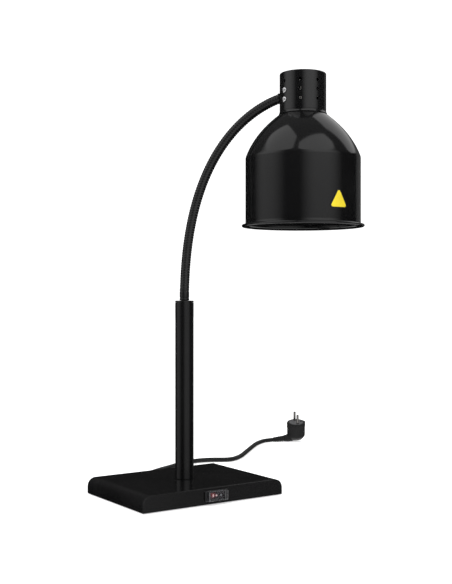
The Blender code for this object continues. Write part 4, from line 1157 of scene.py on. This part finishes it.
for name in ("bottom_plate", "ballast_plate"):
    finishNode(name, plateSteel)
for name in ("column_insert", "column_stud", "column_nut", "hose_lock_nut", "holder_bracket", "holder_stem",
             "holder_nut", "standoff_1", "standoff_2", "standoff_3", "standoff_4"):
    finishNode(name, brightSteel, 0.0002)
finishNode("terminal_block", whiteMoulding, 0)
print("inner pieces finished")


# Floor and studio: a pale floor, white surroundings, soft boxes that only the gloss sees
studio = {
    "surround": 1.25,              # light on everything that isn't glossy
    "dark": (0.006, 0.15),         # in reflections, near the horizon and overhead
    "ground": 0.85,                # in reflections, from below
    "climb": (0.58, 0.78),         # where the soft boxes' sides change from their low to their high place
    # soft boxes: where each faces, in degrees from the camera's side; its two sides low down and high up; its
    # lower and upper edge; its soft edge low down and high up; its brightness, alike all over or by levels
    "panels": (
        {"faces": -75, "low": (-0.55, 0.44), "high": (-1.10, 1.02), "rise": (-0.50, 3.80), "soft": (0.40, 0.06),
         "bright": 1.04, "even": False},
        {"faces": 35, "low": (-0.66, 0.60), "high": (-1.25, 1.10), "rise": (-0.50, 2.80), "soft": (0.46, 0.07),
         "bright": 1.12, "even": False},
        {"faces": 150, "low": (-0.85, 0.36), "high": (-0.85, 0.36), "rise": (0.40, 2.30), "soft": (0.10, 0.10),
         "bright": 0.90, "even": True},
        {"faces": 150, "low": (-0.45, 0.10), "high": (-0.45, 0.10), "rise": (-0.25, 0.40), "soft": (0.10, 0.10),
         "bright": 0.14, "even": True},
    ),
    # the first two boxes' brightness from low to high
    "levels": ((0.0, 0.38), (0.13, 0.44), (0.245, 0.54), (0.285, 0.90), (0.304, 0.95), (0.69, 0.97),
               (1.0, 1.0)),
    "lowest": -0.15,               # the height in a reflection where the levels start
    "floor": {"half": 9.0, "shades": (0.91, 0.92), "glow": 0.45},
    "lamp": {"place": (-0.9, -0.6, 2.2), "size": 1.6, "power": 9},
}


def mathNode(tree, operation, a, b):
    node = tree.nodes.new("ShaderNodeMath")
    node.operation = operation
    for socket, value in zip(node.inputs, (a, b)):
        if isinstance(value, (int, float)):
            socket.default_value = value
        else:
            tree.links.new(value, socket)
    return node.outputs["Value"]


def stepNode(tree, value, low, high, rising=True):
    node = tree.nodes.new("ShaderNodeMapRange")
    node.interpolation_type = "SMOOTHSTEP"
    for name, edge in (("From Min", low), ("From Max", high)):
        if isinstance(edge, (int, float)):
            node.inputs[name].default_value = edge
        else:
            tree.links.new(edge, node.inputs[name])
    node.inputs["To Min"].default_value = 0 if rising else 1
    node.inputs["To Max"].default_value = 1 if rising else 0
    tree.links.new(value, node.inputs["Value"])
    return node.outputs["Result"]


def mixNode(tree, share, low, high):
    return ranged(tree, share, low, high, 0.0, 1.0)


def softBox(tree, direction, climb, level, make):
    # an upright rectangle on a far wall, seen by direction alone
    towards = math.radians(make["faces"] - 90 - view["heading"])
    turn = tree.nodes.new("ShaderNodeVectorRotate")
    turn.rotation_type = "Z_AXIS"
    turn.inputs["Angle"].default_value = -towards
    parts = tree.nodes.new("ShaderNodeSeparateXYZ")
    tree.links.new(direction, turn.inputs["Vector"])
    tree.links.new(turn.outputs["Vector"], parts.inputs["Vector"])
    ahead = mathNode(tree, "MAXIMUM", parts.outputs["X"], 0.0001)
    sideways = mathNode(tree, "DIVIDE", parts.outputs["Y"], ahead)
    upward = mathNode(tree, "DIVIDE", parts.outputs["Z"], ahead)
    soft = mixNode(tree, climb, *make["soft"])
    shape = mathNode(tree, "GREATER_THAN", parts.outputs["X"], 0.001)
    for number, rising in ((0, True), (1, False)):
        edge = mixNode(tree, climb, make["low"][number], make["high"][number])
        inner = mathNode(tree, "SUBTRACT", edge, soft)
        outer = mathNode(tree, "ADD", edge, soft)
        shape = mathNode(tree, "MULTIPLY", shape, stepNode(tree, sideways, inner, outer, rising))
    for edge, rising in zip(make["rise"], (True, False)):
        shape = mathNode(tree, "MULTIPLY", shape, stepNode(tree, upward, edge - 0.07, edge + 0.07, rising))
    shape = mathNode(tree, "MULTIPLY", shape, make["bright"])
    return shape if make["even"] else mathNode(tree, "MULTIPLY", shape, level)


def makeSurroundings():
    world = bpy.data.worlds.new("studio")
    world.use_nodes = True
    bpy.context.scene.world = world
    tree = world.node_tree
    tree.nodes.clear()
    direction = tree.nodes.new("ShaderNodeTexCoord").outputs["Generated"]
    parts = tree.nodes.new("ShaderNodeSeparateXYZ")
    tree.links.new(direction, parts.inputs["Vector"])
    height = parts.outputs["Z"]
    dark = ranged(tree, height, *studio["dark"], 0.15, 1.0)
    below = stepNode(tree, height, -0.46, -0.32, rising=False)
    glossLight = mathNode(tree, "MAXIMUM", dark, mathNode(tree, "MULTIPLY", below, studio["ground"]))
    climb = stepNode(tree, height, *studio["climb"])
    ramp = tree.nodes.new("ShaderNodeValToRGB")
    for spot in studio["levels"][1:-1]:
        ramp.color_ramp.elements.new(spot[0])
    for element, (place, value) in zip(ramp.color_ramp.elements, studio["levels"]):
        element.position = place
        element.color = (value, value, value, 1)
    tree.links.new(ranged(tree, height, 0.0, 1.0, studio["lowest"], 1.0), ramp.inputs["Fac"])
    for make in studio["panels"]:
        box = softBox(tree, direction, climb, ramp.outputs["Color"], make)
        glossLight = mathNode(tree, "MAXIMUM", glossLight, box)
    ray = tree.nodes.new("ShaderNodeLightPath")
    strength = tree.nodes.new("ShaderNodeMix")
    strength.data_type = "FLOAT"
    strength.inputs["A"].default_value = studio["surround"]
    tree.links.new(ray.outputs["Is Glossy Ray"], strength.inputs["Factor"])
    tree.links.new(glossLight, strength.inputs["B"])
    background = tree.nodes.new("ShaderNodeBackground")
    background.inputs["Color"].default_value = (1, 1, 1, 1)
    output = tree.nodes.new("ShaderNodeOutputWorld")
    tree.links.new(strength.outputs["Result"], background.inputs["Strength"])
    tree.links.new(background.outputs["Background"], output.inputs["Surface"])


def makeFloor():
    make = studio["floor"]
    bm = bmesh.new()
    bmesh.ops.create_grid(bm, x_segments=2, y_segments=2, size=make["half"])
    mesh = bpy.data.meshes.new("floor")
    bm.to_mesh(mesh)
    bm.free()
    mat, tree, shader = newFinish("paleFloor", (0.88, 0.88, 0.88), 0.9)
    varyColor(tree, shader, 3, (make["shades"][0],) * 3, (make["shades"][1],) * 3)
    shader.inputs["Emission Color"].default_value = (1, 1, 1, 1)
    shader.inputs["Emission Strength"].default_value = make["glow"]
    floor = bpy.data.objects.new("floor", mesh)
    floor.location = (0, 0, -0.0002)
    mesh.materials.append(mat)
    floor.visible_glossy = False
    bpy.context.scene.collection.objects.link(floor)


def makeLamp():
    make = studio["lamp"]
    lampData = bpy.data.lights.new("softTop", "AREA")
    lampData.shape = "DISK"
    lampData.size = make["size"]
    lampData.energy = make["power"]
    lamp = bpy.data.objects.new("softTop", lampData)
    lamp.location = make["place"]
    lamp.rotation_euler = (Vector((0, 0, 0)) - lamp.location).to_track_quat("-Z", "Y").to_euler()
    lamp.visible_glossy = False
    bpy.context.scene.collection.objects.link(lamp)


makeSurroundings()
makeFloor()
makeLamp()
print("studio lit")
